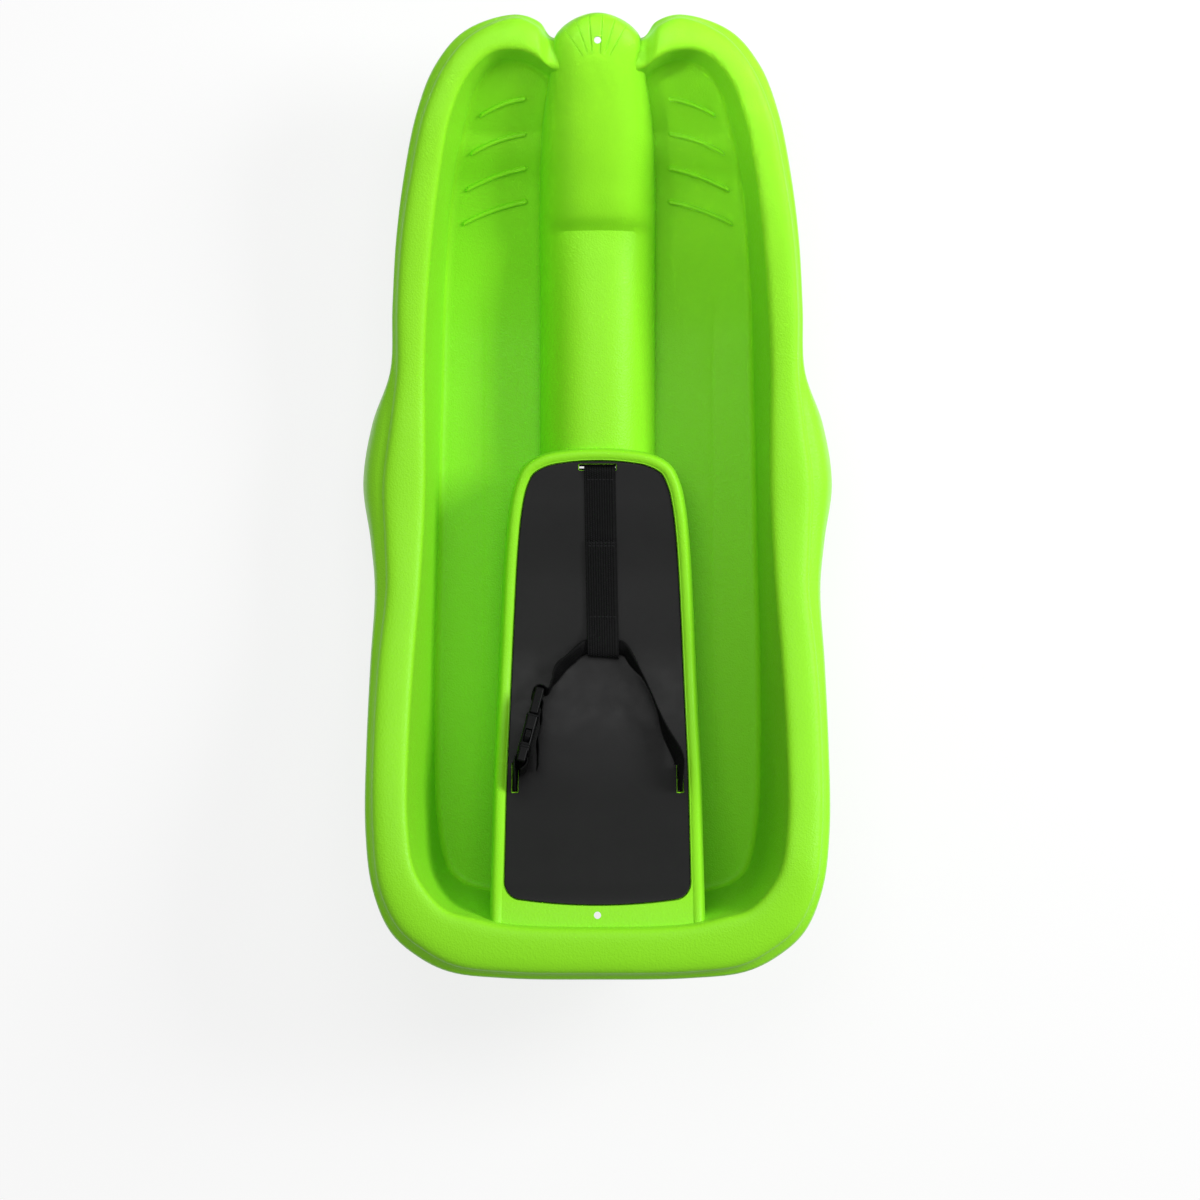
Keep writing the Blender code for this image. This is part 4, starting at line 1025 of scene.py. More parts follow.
    def runner(self, side: Side) -> Piece:
        """The ridge under a footwell that the sled slides on."""
        wall, depth, width = self.shape.wall, self.shape.runner_depth, self.shape.runner_width
        half, foot, low = width / 2 + wall / 2, width / 2, -wall - depth
        outline = ((-half, -wall * 0.6), (-foot, low), (foot, low), (half, -wall * 0.6))
        points = [Vector((x, 0, z)) for x, z in outline]
        return swept(f"runner {side.name}", self.runner_line(side), lambda i: points)

    def channel(self, side: Side) -> Piece:
        """The shallow channel that a runner leaves in the footwell's floor."""
        half, depth, slope = self.shape.runner_width / 2, self.channel_depth, self.channel_slope
        top, foot = half + slope, half - slope
        outline = ((-top, depth), (-foot, -depth), (foot, -depth), (top, depth))
        line = self.runner_line(side)[1:-1]

        def section(i: int) -> list[Vector]:
            """The channel's section, which runs out of the floor towards its ends."""
            rise = 2.2 * depth * (1 - min(1.0, i / 6, (len(line) - 1 - i) / 6))
            return [Vector((x, 0, z + rise)) for x, z in outline]

        return swept(f"channel {side.name}", line, section)

    def grip(self, side: Side, index: int) -> Piece:
        """One raised foot grip, a thin arched bead with round ends on the climbing floor.

        Args:
            side: The footwell's side.
            index: Which grip, counted from the nose.

        Returns:
            The bead as a closed solid.
        """
        edge = smooth_line([row[3] for row in self.stations[12:20]], 4)
        inner = Vector((self.grip_inner_x, self.grip_first_y - index * self.grip_pitch))
        outer_x = min(edge, key=lambda p: abs(p.y - inner.y + 0.018)).x - self.grip_from_wall
        centres = []
        radii = []
        for i in range(self.bead_steps + 1):
            u = i / self.bead_steps
            x = inner.x + (outer_x - inner.x) * u
            y = inner.y - self.grip_sweep * (x - inner.x) + self.grip_arch * 4 * u * (1 - u)
            centres.append(Vector((side.value * x, y, self.shape.floor_height(y) + self.grip_lift)))
            end = min(u, 1 - u) * (outer_x - inner.x) / self.grip_radius
            radii.append(self.grip_radius * math.sqrt(max(0.04, 1 - max(0.0, 1 - end) ** 2)))
        return rod(f"grip {side.name} {index}", centres, radii, Vector((0, 1, 0)), 14)

    def groove(self, index: int) -> Piece:
        """A cutter for one of the fine grooves that fan out over the nose dome."""
        (x0, y0), (x1, y1) = self.grooves[index]
        centres = []
        radii = []
        for i in range(self.groove_steps + 1):
            u = i / self.groove_steps
            x, y = x0 + (x1 - x0) * u, y0 + (y1 - y0) * u
            centres.append(Vector((x, y, self.dome_height(x, y) + self.groove_lift)))
            radii.append(self.groove_radius * min(1.0, 0.35 + 7 * min(u, 1 - u)))
        return rod(f"groove {index}", centres, radii, Vector((1, 0, 0)), 8)

    def cord_hole(self, name: str, y: float) -> Piece:
        """A cutter for one of the round holes for a cord."""
        radius = self.cord_hole_diameter / 2
        return upright(name, [(radius * c, y + radius * s) for c, s in circle(32)], 0.1, 0.26)

    def build(self) -> Piece:
        """Make the hull as one closed skin.

        Returns:
            The hull.
        """
        made = self.tub()
        combine(made, [self.seat_box(), self.tunnel_solid("tunnel", 0.0, 0.0)], Join.ADD)
        combine(made, [self.recess(), self.tunnel_solid("tunnel hollow", self.shape.wall, 0.05),
                       self.seat_hollow()], Join.CUT)
        beads = [self.runner(side) for side in Side]
        beads += [self.grip(side, index) for side in Side for index in range(self.grip_count)]
        combine(made, beads, Join.ADD)
        cuts = [self.channel(side) for side in Side]
        cuts += [self.cord_hole("nose hole", self.nose_hole_y), self.cord_hole("deck hole", self.deck_hole_y)]
        cuts += [self.groove(i) for i in range(len(self.grooves))]
        cuts += self.shape.slots(-self.shape.hull_slot_inset)
        combine(made, cuts, Join.CUT)
        round_smooth(made, 32.0)
        dress(made, self.finish.material(), "sled", "hull_polyethylene", "hull")
        return made


@dataclass(frozen=True)
class Lamp:
    """A square soft lamp: its side in metres, its power in watts and its spread in degrees."""

    name: str
    place: Point
    target: Point
    size: float
    power: float
    spread: float = 180.0

    def build(self) -> None:
        """Hang the lamp and aim it at its target."""
        data = bpy.data.lights.new(self.name, "AREA")
        data.shape = "SQUARE"
        data.size = self.size
        data.energy = self.power
        data.spread = math.radians(self.spread)
        made = placed(self.name, data)
        made.location = self.place
        made.rotation_euler = (Vector(self.target) - Vector(self.place)).to_track_quat("-Z", "Y").to_euler()


@dataclass
class Studio:
    """Pale floor, soft lamps and the camera above the sled."""

    camera_height: float = 3.0
    camera_place: Pair = (0.0023, -0.0958)
    lens: float = 92.4
    floor_size: float = 14.0
    floor_colour: Point = (0.86, 0.86, 0.86)
    floor_roughness: float = 0.9
    floor_glow: float = 0.82
    world_level: float = 0.26
    lamps: Sequence[Lamp] = (
        Lamp("key", (2.2, 0.8, 1.85), (0, 0.05, 0.05), 1.1, 82.0),
        Lamp("over the nose", (-0.05, 0.5, 1.6), (0.05, 0.1, 0.05), 0.9, 10.0),
        Lamp("nose fill", (-0.7, 0.56, 1.6), (0.2, 0.46, 0.12), 0.3, 0.22, 15.0))

    def seen(self, tree: bpy.types.NodeTree) -> Socket:
        """One for rays that show the background: the camera's, reflections and what is seen through glass."""
        path = tree.nodes.new("ShaderNodeLightPath")
        total = path.outputs["Is Camera Ray"]
        for kind in ("Is Glossy Ray", "Is Transmission Ray"):
            total = maths(tree, "MAXIMUM", total, path.outputs[kind])
        return total

    def floor(self) -> None:
        """A plain pale floor that keeps a soft shadow."""
        half = self.floor_size / 2
        made = mesh_object("floor", [(-half, -half, 0), (half, -half, 0), (half, half, 0), (-half, half, 0)],
                           [(0, 1, 2, 3)], outward=False)
        material = bpy.data.materials.new("pale floor")
        material.use_nodes = True
        tree = material.node_tree
        shader = tree.nodes["Principled BSDF"]
        shader.inputs["Base Color"].default_value = (*self.floor_colour, 1)
        shader.inputs["Roughness"].default_value = self.floor_roughness
        glow = wired(tree, "ShaderNodeEmission", {"Strength": 1.0})
        share = maths(tree, "MULTIPLY", self.seen(tree), self.floor_glow)
        mix = wired(tree, "ShaderNodeMixShader", {
            "Fac": share, 1: shader.outputs["BSDF"], 2: glow.outputs["Emission"]})
        tree.links.new(mix.outputs["Shader"], tree.nodes["Material Output"].inputs["Surface"])
        made.data.materials.append(material)

    def world(self) -> None:
        """White all round, at a plain level."""
        world = bpy.data.worlds.new("studio")
        bpy.context.scene.world = world
        world.use_nodes = True
        tree = world.node_tree
        back = tree.nodes["Background"]
        back.inputs["Color"].default_value = (1, 1, 1, 1)
        level = wired(tree, "ShaderNodeMapRange", {
            "Value": self.seen(tree), "To Min": self.world_level, "To Max": 1.0})
        tree.links.new(level.outputs["Result"], back.inputs["Strength"])

    def build(self) -> None:
        """Set up the floor, the lamps, the world and the camera."""
        self.floor()
        self.world()
        for lamp in self.lamps:
            lamp.build()
        data = bpy.data.cameras.new("above")
        data.lens = self.lens
        made = placed("above", data)
        made.location = (*self.camera_place, self.camera_height)
        bpy.context.scene.camera = made
        bpy.context.scene.view_settings.view_transform = "Standard"
        LOG.info("studio ready")


@dataclass
class SeatPanel:
    """The dark sheet in the seat's recess, with a rounded edge and three webbing slots."""

    shape: SledShape
    finish: SatinSheet = field(default_factory=SatinSheet)
    edge_section: Table = ((0.0, 0.004), (0.0, 0.0011), (0.0002, 0.0005), (0.0006, 0.0001),
                           (0.0011, 0.0))

    def build(self) -> Piece:
        """Make the panel.

        Returns:
            The panel.
        """
        rings = []
        for inset, drop in self.edge_section:
            edge = self.shape.panel_outline(-inset)
            rings.append([(p.x, p.y, self.shape.panel_top(p.y) - drop) for p in edge])
        made = half_filled("seat_panel_sheet", rings, False, False)
        combine(made, self.shape.slots(0.0), Join.CUT)
        round_smooth(made, 40.0)
        dress(made, self.finish.material(), "sled", "panel_plastic", "seat_panel")
        return made


@dataclass
class WebStop:
    """One place on a strap's route."""

    centre: Vector
    across: Vector
    thickness: float
    share: float = 1.0


@dataclass(frozen=True)
class WovenWebbing:
    """Black polypropylene webbing with a slight gloss on its threads."""

    name: str
    colour: Point = (0.003, 0.003, 0.0032)
    paler: Point = (0.006, 0.006, 0.0064)
    roughness: Pair = (0.5, 0.72)
    shine: float = 0.06
    thread_scale: float = 900.0
    thread_height: float = 0.0002

    def material(self) -> Material:
        """The finish as a material."""
        kit = NodeKit(self.name)
        kit.feed("Base Color", kit.mix_colour(kit.noise(190.0, 4.0, 0.6), self.colour, self.paler))
        kit.roughen(420.0, 2.0, self.roughness)
        kit.feed("Normal", kit.bump(kit.noise(self.thread_scale, 3.0, 0.6), 0.6, self.thread_height))
        kit.feed("Specular IOR Level", self.shine)
        return kit.material


@dataclass(frozen=True)
class SewingThread:
    """Dark grey sewing thread, a little paler than the webbing."""

    name: str = "sewing thread"
    colour: Point = (0.012, 0.012, 0.013)
    paler: Point = (0.026, 0.026, 0.028)
    roughness: float = 0.5
    shine: float = 0.12
    strand_height: float = 0.0001

    def material(self) -> Material:
        """The finish as a material."""
        kit = NodeKit(self.name)
        kit.feed("Base Color", kit.mix_colour(kit.noise(700.0, 2.0), self.colour, self.paler))
        kit.feed("Normal", kit.bump(kit.noise(3000.0, 2.0), 0.4, self.strand_height))
        kit.feed("Roughness", self.roughness)
        kit.feed("Specular IOR Level", self.shine)
        return kit.material


class Repeater:
    """A Geometry Nodes tree that puts a rounded bar at every point and makes one plain mesh of them."""

    def __init__(self, name: str, sides: int, segments: int, waist: float, phases: Sequence[float]) -> None:
        """Build the tree.

        Args:
            name: The tree's name.
            sides: Faces round a bar.
            segments: Pieces along a bar.
            waist: How much a bar's bulges stand out, as a share of its radius.
            phases: Where the bulges begin on the kinds of bar, which follow one another.
        """
        tree = bpy.data.node_groups.new(name, "GeometryNodeTree")
        face = tree.interface
        face.new_socket("Places", in_out="INPUT", socket_type="NodeSocketGeometry")
        self.bulges = face.new_socket("Bulges", in_out="INPUT", socket_type="NodeSocketFloat").identifier
        self.finish = face.new_socket("Finish", in_out="INPUT", socket_type="NodeSocketMaterial").identifier
        face.new_socket("Bars", in_out="OUTPUT", socket_type="NodeSocketGeometry")
        self.tree = tree
        start, end = tree.nodes.new("NodeGroupInput"), tree.nodes.new("NodeGroupOutput")
        kinds = tree.nodes.new("GeometryNodeGeometryToInstance")
        for phase in phases:
            tree.links.new(self.bar(start, sides, segments, waist, phase), kinds.inputs["Geometry"])
        points = wired(tree, "GeometryNodeMeshToPoints", {"Mesh": start.outputs["Places"]})
        index = tree.nodes.new("GeometryNodeInputIndex")
        parity = wired(tree, "FunctionNodeIntegerMath", {0: index.outputs["Index"], 1: len(phases)})
        parity.operation = "MODULO"
        spread = wired(tree, "GeometryNodeInstanceOnPoints", {
            "Points": points.outputs["Points"], "Instance": kinds.outputs["Instances"],
            "Pick Instance": True, "Instance Index": parity.outputs[0],
            "Rotation": self.attribute("turn", "QUATERNION"),
            "Scale": self.attribute("size", "FLOAT_VECTOR")})
        whole = wired(tree, "GeometryNodeRealizeInstances", {"Geometry": spread.outputs["Instances"]})
        smooth = wired(tree, "GeometryNodeSetShadeSmooth", {"Geometry": whole.outputs["Geometry"]})
        dressed = wired(tree, "GeometryNodeSetMaterial", {
            "Geometry": smooth.outputs["Geometry"], "Material": start.outputs["Finish"]})
        tree.links.new(dressed.outputs["Geometry"], end.inputs["Bars"])

    def attribute(self, name: str, kind: str) -> Socket:
        """Read a named attribute of the points.

        Args:
            name: The attribute's name.
            kind: Its data type.

        Returns:
            The socket that gives it.
        """
        made = wired(self.tree, "GeometryNodeInputNamedAttribute", {"Name": name})
        made.data_type = kind
        return next(socket for socket in made.outputs if socket.enabled)

    def bar(self, start: bpy.types.Node, sides: int, segments: int, waist: float, phase: float) -> Socket:
        """A bar of unit length and unit thickness along x, which bulges along its length.

        Args:
            start: The tree's input node.
            sides: Faces round it.
            segments: Pieces along it.
            waist: How much it bulges.
            phase: Where the bulges begin.

        Returns:
            The bar's geometry.
        """
        tube = wired(self.tree, "GeometryNodeMeshCylinder", {
            "Vertices": sides, "Side Segments": segments, "Radius": 0.5, "Depth": 1.0})
        place = self.tree.nodes.new("GeometryNodeInputPosition")
        parts = wired(self.tree, "ShaderNodeSeparateXYZ", {"Vector": place.outputs["Position"]})
        wave = maths(self.tree, "MULTIPLY_ADD", parts.outputs["Z"], start.outputs["Bulges"], phase)
        swell = maths(self.tree, "MULTIPLY_ADD", maths(self.tree, "SINE", wave), waist, 1.0 - waist)
        thicker = {axis: maths(self.tree, "MULTIPLY", parts.outputs[axis], swell) for axis in ("X", "Y")}
        scaled = wired(self.tree, "ShaderNodeCombineXYZ", {**thicker, "Z": parts.outputs["Z"]})
        moved = wired(self.tree, "GeometryNodeSetPosition", {
            "Geometry": tube.outputs["Mesh"], "Position": scaled.outputs["Vector"]})
        laid = wired(self.tree, "GeometryNodeTransform", {
            "Geometry": moved.outputs["Geometry"], "Rotation": (0.0, math.pi / 2, 0.0)})
        return laid.outputs["Geometry"]

    def spread(self, name: str, places: Sequence[tuple[Matrix, Point]], bulges: float,
               material: Material) -> Piece:
        """Put a bar at each place.

        Args:
            name: The new piece's name.
            places: For each bar, its place and turn as a matrix, and its length, depth and thickness.
            bulges: How fast the bulges follow one another along a bar, in radians.
            material: The bars' finish.

        Returns:
            The bars as one plain mesh.
        """
        mesh = bpy.data.meshes.new(name)
        mesh.from_pydata([tuple(m.translation) for m, _ in places], [], [])
        for attribute, kind in (("turn", "QUATERNION"), ("size", "FLOAT_VECTOR")):
            mesh.attributes.new(attribute, kind, "POINT")
        turns = [part for matrix, _ in places for part in matrix.to_quaternion()]
        mesh.attributes["turn"].data.foreach_set("value", turns)
        mesh.attributes["size"].data.foreach_set("vector", [part for _, scale in places for part in scale])
        made = placed(name, mesh)
        step = made.modifiers.new("bars", "NODES")
        step.node_group = self.tree
        step[self.bulges] = bulges
        step[self.finish] = material
        settle(made)
        # The bars are merged with a strap next, which wants plain meshes of points and faces only.
        for attribute in ("turn", "size"):
            if attribute in made.data.attributes:
                made.data.attributes.remove(made.data.attributes[attribute])
        return made


def turned_to(across: Vector, run: Vector) -> Matrix:
    """A turn that lays x along across and y along run."""
    return Matrix((across, run, across.cross(run))).transposed().to_4x4()


def frames_along(route: Sequence[WebStop]) -> list[Matrix]:
    """A frame at each stop: x across the strap, y along it, z out of its face.

    Args:
        route: The strap's stops.

    Returns:
        One matrix for each stop.
    """
    found = []
    for i, stop in enumerate(route):
        run = (route[min(i + 1, len(route) - 1)].centre - route[max(i - 1, 0)].centre).normalized()
        across = (stop.across - stop.across.dot(run) * run).normalized()
        turned = turned_to(across, run)
        found.append(Matrix.Translation(stop.centre) @ turned)
    return found


def even_stops(route: Sequence[WebStop], pitch: float) -> list[WebStop]:
    """Place stops along a route at an even pitch.

    Args:
        route: The route's own stops.
        pitch: Distance between the new ones.

    Returns:
        The new stops.
    """
    lengths = [0.0]
    for a, b in zip(route, route[1:], strict=False):
        lengths.append(lengths[-1] + (b.centre - a.centre).length)
    count = max(2, round(lengths[-1] / pitch))
    found = []
    k = 0
    for i in range(count + 1):
        at = lengths[-1] * i / count
        while k < len(route) - 2 and lengths[k + 1] < at:
            k += 1
        share = (at - lengths[k]) / max(lengths[k + 1] - lengths[k], 1e-9)
        a, b = route[k], route[k + 1]
        found.append(WebStop(a.centre.lerp(b.centre, share), a.across.lerp(b.across, share).normalized(),
                             a.thickness + (b.thickness - a.thickness) * share,
                             a.share + (b.share - a.share) * share))
    return found


@dataclass
class StrapWeaver:
    """Makes a strap's core, its ribs and its stitches along a route."""

    shape: SledShape
    rib_pitch: float = 0.00125
    core_width: float = 0.985
    core_section: Table = ((-1, 0), (-0.92, -1), (0.92, -1), (1, 0), (0.92, 1), (-0.92, 1))
    float_thickness: float = 0.0006
    core_share: float = 0.55
    thread_radius: float = 0.00032
    float_pitch: float = 0.0019
    float_columns: int = 11
    selvage: float = 0.0018
    ribs: Repeater = field(default_factory=lambda: Repeater("webbing ribs", 6, 8, 0.1, (math.pi / 2, 0.0)))
    floats: Repeater = field(default_factory=lambda: Repeater("yarn floats", 6, 3, 0.45, (math.pi / 2,)))
    stitcher: Repeater = field(default_factory=lambda: Repeater("stitches", 6, 4, 0.25, (math.pi / 2,)))
    thread: SewingThread = field(default_factory=SewingThread)
    thread_material: Material | None = None

    def core(self, name: str, route: Sequence[WebStop], width: float, material: Material) -> Piece:
        """The thin body of a strap, inside its ribs.

        Args:
            name: The piece's name.
            route: The strap's stops.
            width: Its full width.
            material: Its finish.

        Returns:
            A closed ribbon.
        """
        rings = []
        for stop, place in zip(route, frames_along(route), strict=True):
            half, thick = stop.share * width / 2 * self.core_width, stop.thickness * self.core_share / 2
            rings.append([place @ Vector((x * half, 0, z * thick)) for x, z in self.core_section])
        made = lofted(name, rings)
        made.data.materials.append(material)
        made.data.polygons.foreach_set("use_smooth", [True] * len(made.data.polygons))
        return made

    def weave(self, name: str, route: Sequence[WebStop], width: float,
              material: Material) -> Piece:
        """A strap with its ribs.

        Args:
            name: The piece's name.
            route: The strap's stops, with the thickness at each.
            width: Its full width.
            material: Its finish.

        Returns:
            The strap as one mesh.
        """
        stops = even_stops(route, self.rib_pitch)
        core = self.core(name, even_stops(route, self.rib_pitch * 1.5), width, material)
        places = []
        for stop, place in zip(stops, frames_along(stops), strict=True):
            places.append((place, (width * stop.share, self.rib_pitch * 1.04, stop.thickness)))
        ribs = self.ribs.spread(f"{name}_ribs", places, 2 * math.pi * 4, material)
        return self.joined(core, [ribs])

    def twill(self, name: str, route: Sequence[WebStop], width: float,
              material: Material) -> Piece:
        """A strap whose two faces are covered with short floats of yarn, between thick selvages.

        Args:
            name: The piece's name.
            route: The strap's stops, with the thickness at each.
            width: Its full width.
            material: Its finish.

        Returns:
            The strap as one mesh.
        """
        pitch, columns = self.float_pitch, self.float_columns
        core = self.core(name, even_stops(route, pitch), width, material)
        stops = even_stops(route, pitch / 2)
        spread = 2 * (width / 2 - self.selvage * 1.15) / columns
        lengthways = Matrix.Rotation(math.pi / 2, 4, "Z")
        places = []
        for row, (stop, place) in enumerate(zip(stops, frames_along(stops), strict=True)):
            deep = stop.thickness / 2
            for column in range(row % 2, columns, 2):
                x = (column - (columns - 1) / 2) * spread
                for face in (-1, 1):
                    at = Matrix.Translation((x, 0, face * (deep - self.float_thickness / 2)))
                    size = (pitch * 1.12, spread * 1.02, self.float_thickness)
                    places.append((place @ at @ lengthways, size))
            if row % 2 == 0:
                for side in (-1, 1):
                    at = Matrix.Translation((side * (width - self.selvage) / 2, 0, 0))
                    places.append((place @ at @ lengthways, (pitch * 1.25, self.selvage, stop.thickness)))
        return self.joined(core, [self.floats.spread(f"{name}_floats", places, math.pi, material)])

    def stitch(self, name: str, line: Sequence[Vector], out: Vector, length: float = 0.0026,
               gap: float = 0.0009) -> Piece:
        """A row of stitches along a line.

        Args:
            name: The row's name.
            line: Points that the row goes through, on the strap's face.
            out: Away from the strap's face.
            length: One stitch's length.
            gap: The gap between stitches.

        Returns:
            The stitches as one mesh.
        """
        if self.thread_material is None:
            self.thread_material = self.thread.material()
        places = []
        for a, b in zip(line, line[1:], strict=False):
            run = (b - a).normalized()
            count = max(1, int((b - a).length / (length + gap)))
            step = (b - a) / count
            side = out.cross(run).normalized()
            for i in range(count):
                turned = turned_to(run, side)
                middle = a + step * (i + 0.5)
                size = (step.length - gap, 2.0 * self.thread_radius, 2.0 * self.thread_radius)
                places.append((Matrix.Translation(middle) @ turned, size))
        return self.stitcher.spread(name, places, math.pi, self.thread_material)

    def joined(self, first: Piece, others: Sequence[Piece]) -> Piece:
        """Put several meshes at the origin into the first one.

        Args:
            first: The mesh that the others join.
            others: The other meshes, which are then gone.

        Returns:
            The first one.
        """
        kept = list(first.data.materials)
        shape = bmesh.new()
        shape.from_mesh(first.data)
        for other in others:
            for material in other.data.materials:
                if material and material not in kept:
                    kept.append(material)
            slots = [kept.index(m) if m else 0 for m in other.data.materials]
            start = len(shape.faces)
            shape.from_mesh(other.data)
            shape.faces.ensure_lookup_table()
            for face in shape.faces[start:]:
                face.material_index = slots[face.material_index]
        mesh = bpy.data.meshes.new(first.name)
        shape.to_mesh(mesh)
        shape.free()
        for material in kept:
            mesh.materials.append(material)
        first.data = mesh
        remove(*others)
        return first


@dataclass(frozen=True)
class BucklePlace:
    """Sizes of the side release buckle, and its place on the backrest, where it stands on its edge."""

    shape: SledShape
    rear: Pair = (-0.0728, -0.2505)
    front: Pair = (-0.0552, -0.1835)
    lift: float = 0.0172
    width: float = 0.032
    thickness: float = 0.011
    bar_thickness: float = 0.0084
    end_bar: float = 0.0045
    strap_slot: float = 0.006
    socket_floor: float = 0.002
    receptacle_length: float = 0.048
    socket_thickness: float = 0.0066
    socket_width: float = 0.0236
    window: Pair = (0.0185, 0.014)
    plug_base: float = 0.0065
    middle_bar: float = 0.0035
    tongue: Point = (0.0052, 0.0044, 0.02)
    arm_width: float = 0.0042
    arm_thickness: float = 0.0052
    arm_gap: float = 0.0006
    catch_length: float = 0.012
    catch_proud: float = 0.0005
    catch_lead: float = 0.005
    slot_spare: float = 0.0007
    moulded_gap: float = 0.0004
    fused: float = 0.004
    past: float = 0.02

    @property
    def plug_start(self) -> float:
        """Where the plug's base begins, along the buckle."""
        return self.receptacle_length + self.moulded_gap

    @property
    def plug_end(self) -> float:
        """Where the plug's ladder ends."""
        return self.plug_start + self.plug_base + 2 * self.strap_slot + self.middle_bar + self.end_bar

    def matrix(self) -> Matrix:
        """From the buckle's own frame: x its thickness, y from rear to front, z its width."""
        rear, front = (Vector((x, y, self.shape.panel_top(y) + self.lift / math.cos(self.shape.slope_at(y))))
                       for x, y in (self.rear, self.front))
        run = (front - rear).normalized()
        side = run.cross(Vector((0, 0, 1))).normalized()
        turned = turned_to(side, run)
        return Matrix.Translation(rear) @ turned


@dataclass
class Harness:
    """The crotch strap with its loop and the two lap straps, woven, sewn and laid as the sled's are."""

    shape: SledShape
    weaver: StrapWeaver
    buckle: BucklePlace
    web: float = 0.0015
    keeper_thickness: float = 0.003
    hem_thickness: float = 0.0066
    hem_length: float = 0.009
    front_ys: Pair = (0.018, 0.0)
    seam_y: float = -0.04
    middle_y: float = -0.078
    loop_y: float = -0.117
    bend_y: float = -0.134
    end_y: float = -0.15
    drift: Pair = (0.002, 0.0054)
    loop_room: float = 0.0056
    loop_turn: float = -0.1
    out_of_slot: Table = ((0.0, -0.004), (0.0006, 0.0002), (0.0032, 0.0021))
    loop_end: Sequence[Point] = (
        (0.004, 0.0002, 0.0), (0.0008, 0.0, 0.28), (0.0008, 0.0, 0.72), (0.004, 0.0, 1.0))
    seam_margin: float = 0.0022
    thread_lift: float = 0.0001
    front_seams: Pair = (0.0018, 0.0046)
    loop_seam: float = 0.0052
    folded_away: float = 0.46
    web_bend: float = 0.015
    slot_turns: tuple[float, ...] = (0, 35, 70, 100)
    slot_lean: float = 0.42
    run_right: Sequence[RunStop] = (
        (0.063, -0.218, 0.0005, 0.0, 0.24), (0.0567, -0.199, 0.0, 0.0, 0.04),
        (0.049, -0.18, 0.0, 0.0, 0.02), (0.041, -0.165, 0.0, 0.15, 0.1),
        (0.0325, -0.153, 0.0035, 0.7, 0.45))
    run_left: Sequence[RunStop] = (
        (-0.024, -0.15, 0.0035, 0.7, 0.7), (-0.035, -0.1597, 0.0025, 0.6, 0.7),
        (-0.0425, -0.173, 0.0, 0.1, 0.12))
    in_loop: tuple[float, ...] = (0.0195, 0.0045, -0.01)
    at_loop: Pair = (0.0265, -0.017)
    loop_dip: Pair = (0.0035, 0.003)
    nearly_flat: Point = (0.0, 0.85, 0.5)
    tail: Table = ((0.0072, 0.018), (0.0098, 0.029), (0.01, 0.043), (0.0138, 0.056), (0.0165, 0.069))

    @property
    def lift(self) -> float:
        """Height of the webbing's middle over the panel it lies on."""
        return self.shape.seat_gap + self.web / 2

    @property
    def second_layer(self) -> float:
        """Height of the folded-back webbing's middle over the panel."""
        return self.lift + self.web * 1.25

    def over(self, y: float, height: float) -> Vector:
        """A place over the panel on the crotch strap's line, which drifts to the right."""
        share = (self.shape.crotch_slot_y - y) / (self.shape.crotch_slot_y - self.end_y)
        first, last = self.drift
        return Vector((first + (last - first) * share, y, self.shape.panel_top(y) + height))

    def hem(self, x: float, y: float, depth: float, across: Vector) -> list[WebStop]:
        """The folded end under a keeper, from its lower end upward.

        Args:
            x: The slot's place.
            y: The slot's place.
            depth: The slot's size along y.
            across: Across the strap.

        Returns:
            The stops.
        """
        tilt = self.shape.slope_at(y)
        gap = self.shape.seat_gap
        fall = depth / 2 * abs(math.tan(tilt)) + (self.keeper_thickness + gap) / math.cos(tilt)
        top = self.shape.under_seat(y) - fall - 2 * gap
        levels = ((1.0, 0.7), (0.8, 1.0), (0.2, 1.0), (0.0, 0.7))
        found = [WebStop(Vector((x, y, top - self.hem_length * down)), across, self.hem_thickness * thick)
                 for down, thick in levels]
        return [*found, WebStop(Vector((x, y, top + 0.0002)), across, self.web)]

    def eased(self, centres: Sequence[Vector], acrosses: Sequence[Vector], folds: Sequence[float],
              steps: int) -> list[WebStop]:
        """A smooth route whose directions and folds change evenly.

        Args:
            centres: What the strap's middle goes through.
            acrosses: Direction across the strap at each.
            folds: How far the strap is folded at each, 1 for double.
            steps: Pieces between one and the next.

        Returns:
            The stops.
        """
        found = []
        for i, centre in enumerate(smooth_line(centres, steps)):
            k, part = divmod(i, steps)
            after = min(k + 1, len(acrosses) - 1)
            fold = folds[k] + (folds[after] - folds[k]) * part / steps
            found.append(WebStop(centre, acrosses[k].lerp(acrosses[after], part / steps),
                                 self.web * (1 + fold), 1 - self.folded_away * fold))
        return found

    def crotch_route(self) -> list[WebStop]:
        """The wide strap: up through its slot, back over the panel, round the loop and forward again."""
        shape, over, lift, room = self.shape, self.over, self.lift, self.loop_room + self.web
        across = Vector((1, 0, 0))
        y = shape.crotch_slot_y
        ahead = (*self.front_ys, self.seam_y, self.middle_y, self.loop_y, self.bend_y)
        low = [over(at, lift) for at in ahead]
        aside = self.drift[0]
        bend = [Vector((aside, y - back, shape.panel_top(y) + up)) for back, up in self.out_of_slot]
        end = [over(self.end_y + back, lift + (up + room * share)) for back, up, share in self.loop_end]
        back = [over(self.bend_y - 0.001, lift + room), over(self.loop_y - 0.005, lift + room * 0.45),
                over(self.loop_y + 0.002, lift + self.web * 1.3),
                over(self.middle_y, self.second_layer), over(self.seam_y, self.second_layer)]
        route = self.hem(aside, y, shape.slot_width, across)
        for p in smooth_line([*bend, *low, *end, *back], 8):
            turn = clamped((self.loop_y - p.y) / (self.loop_y - self.end_y))
            route.append(WebStop(p, Vector((1, self.loop_turn * turn, 0)), self.web))
        return route

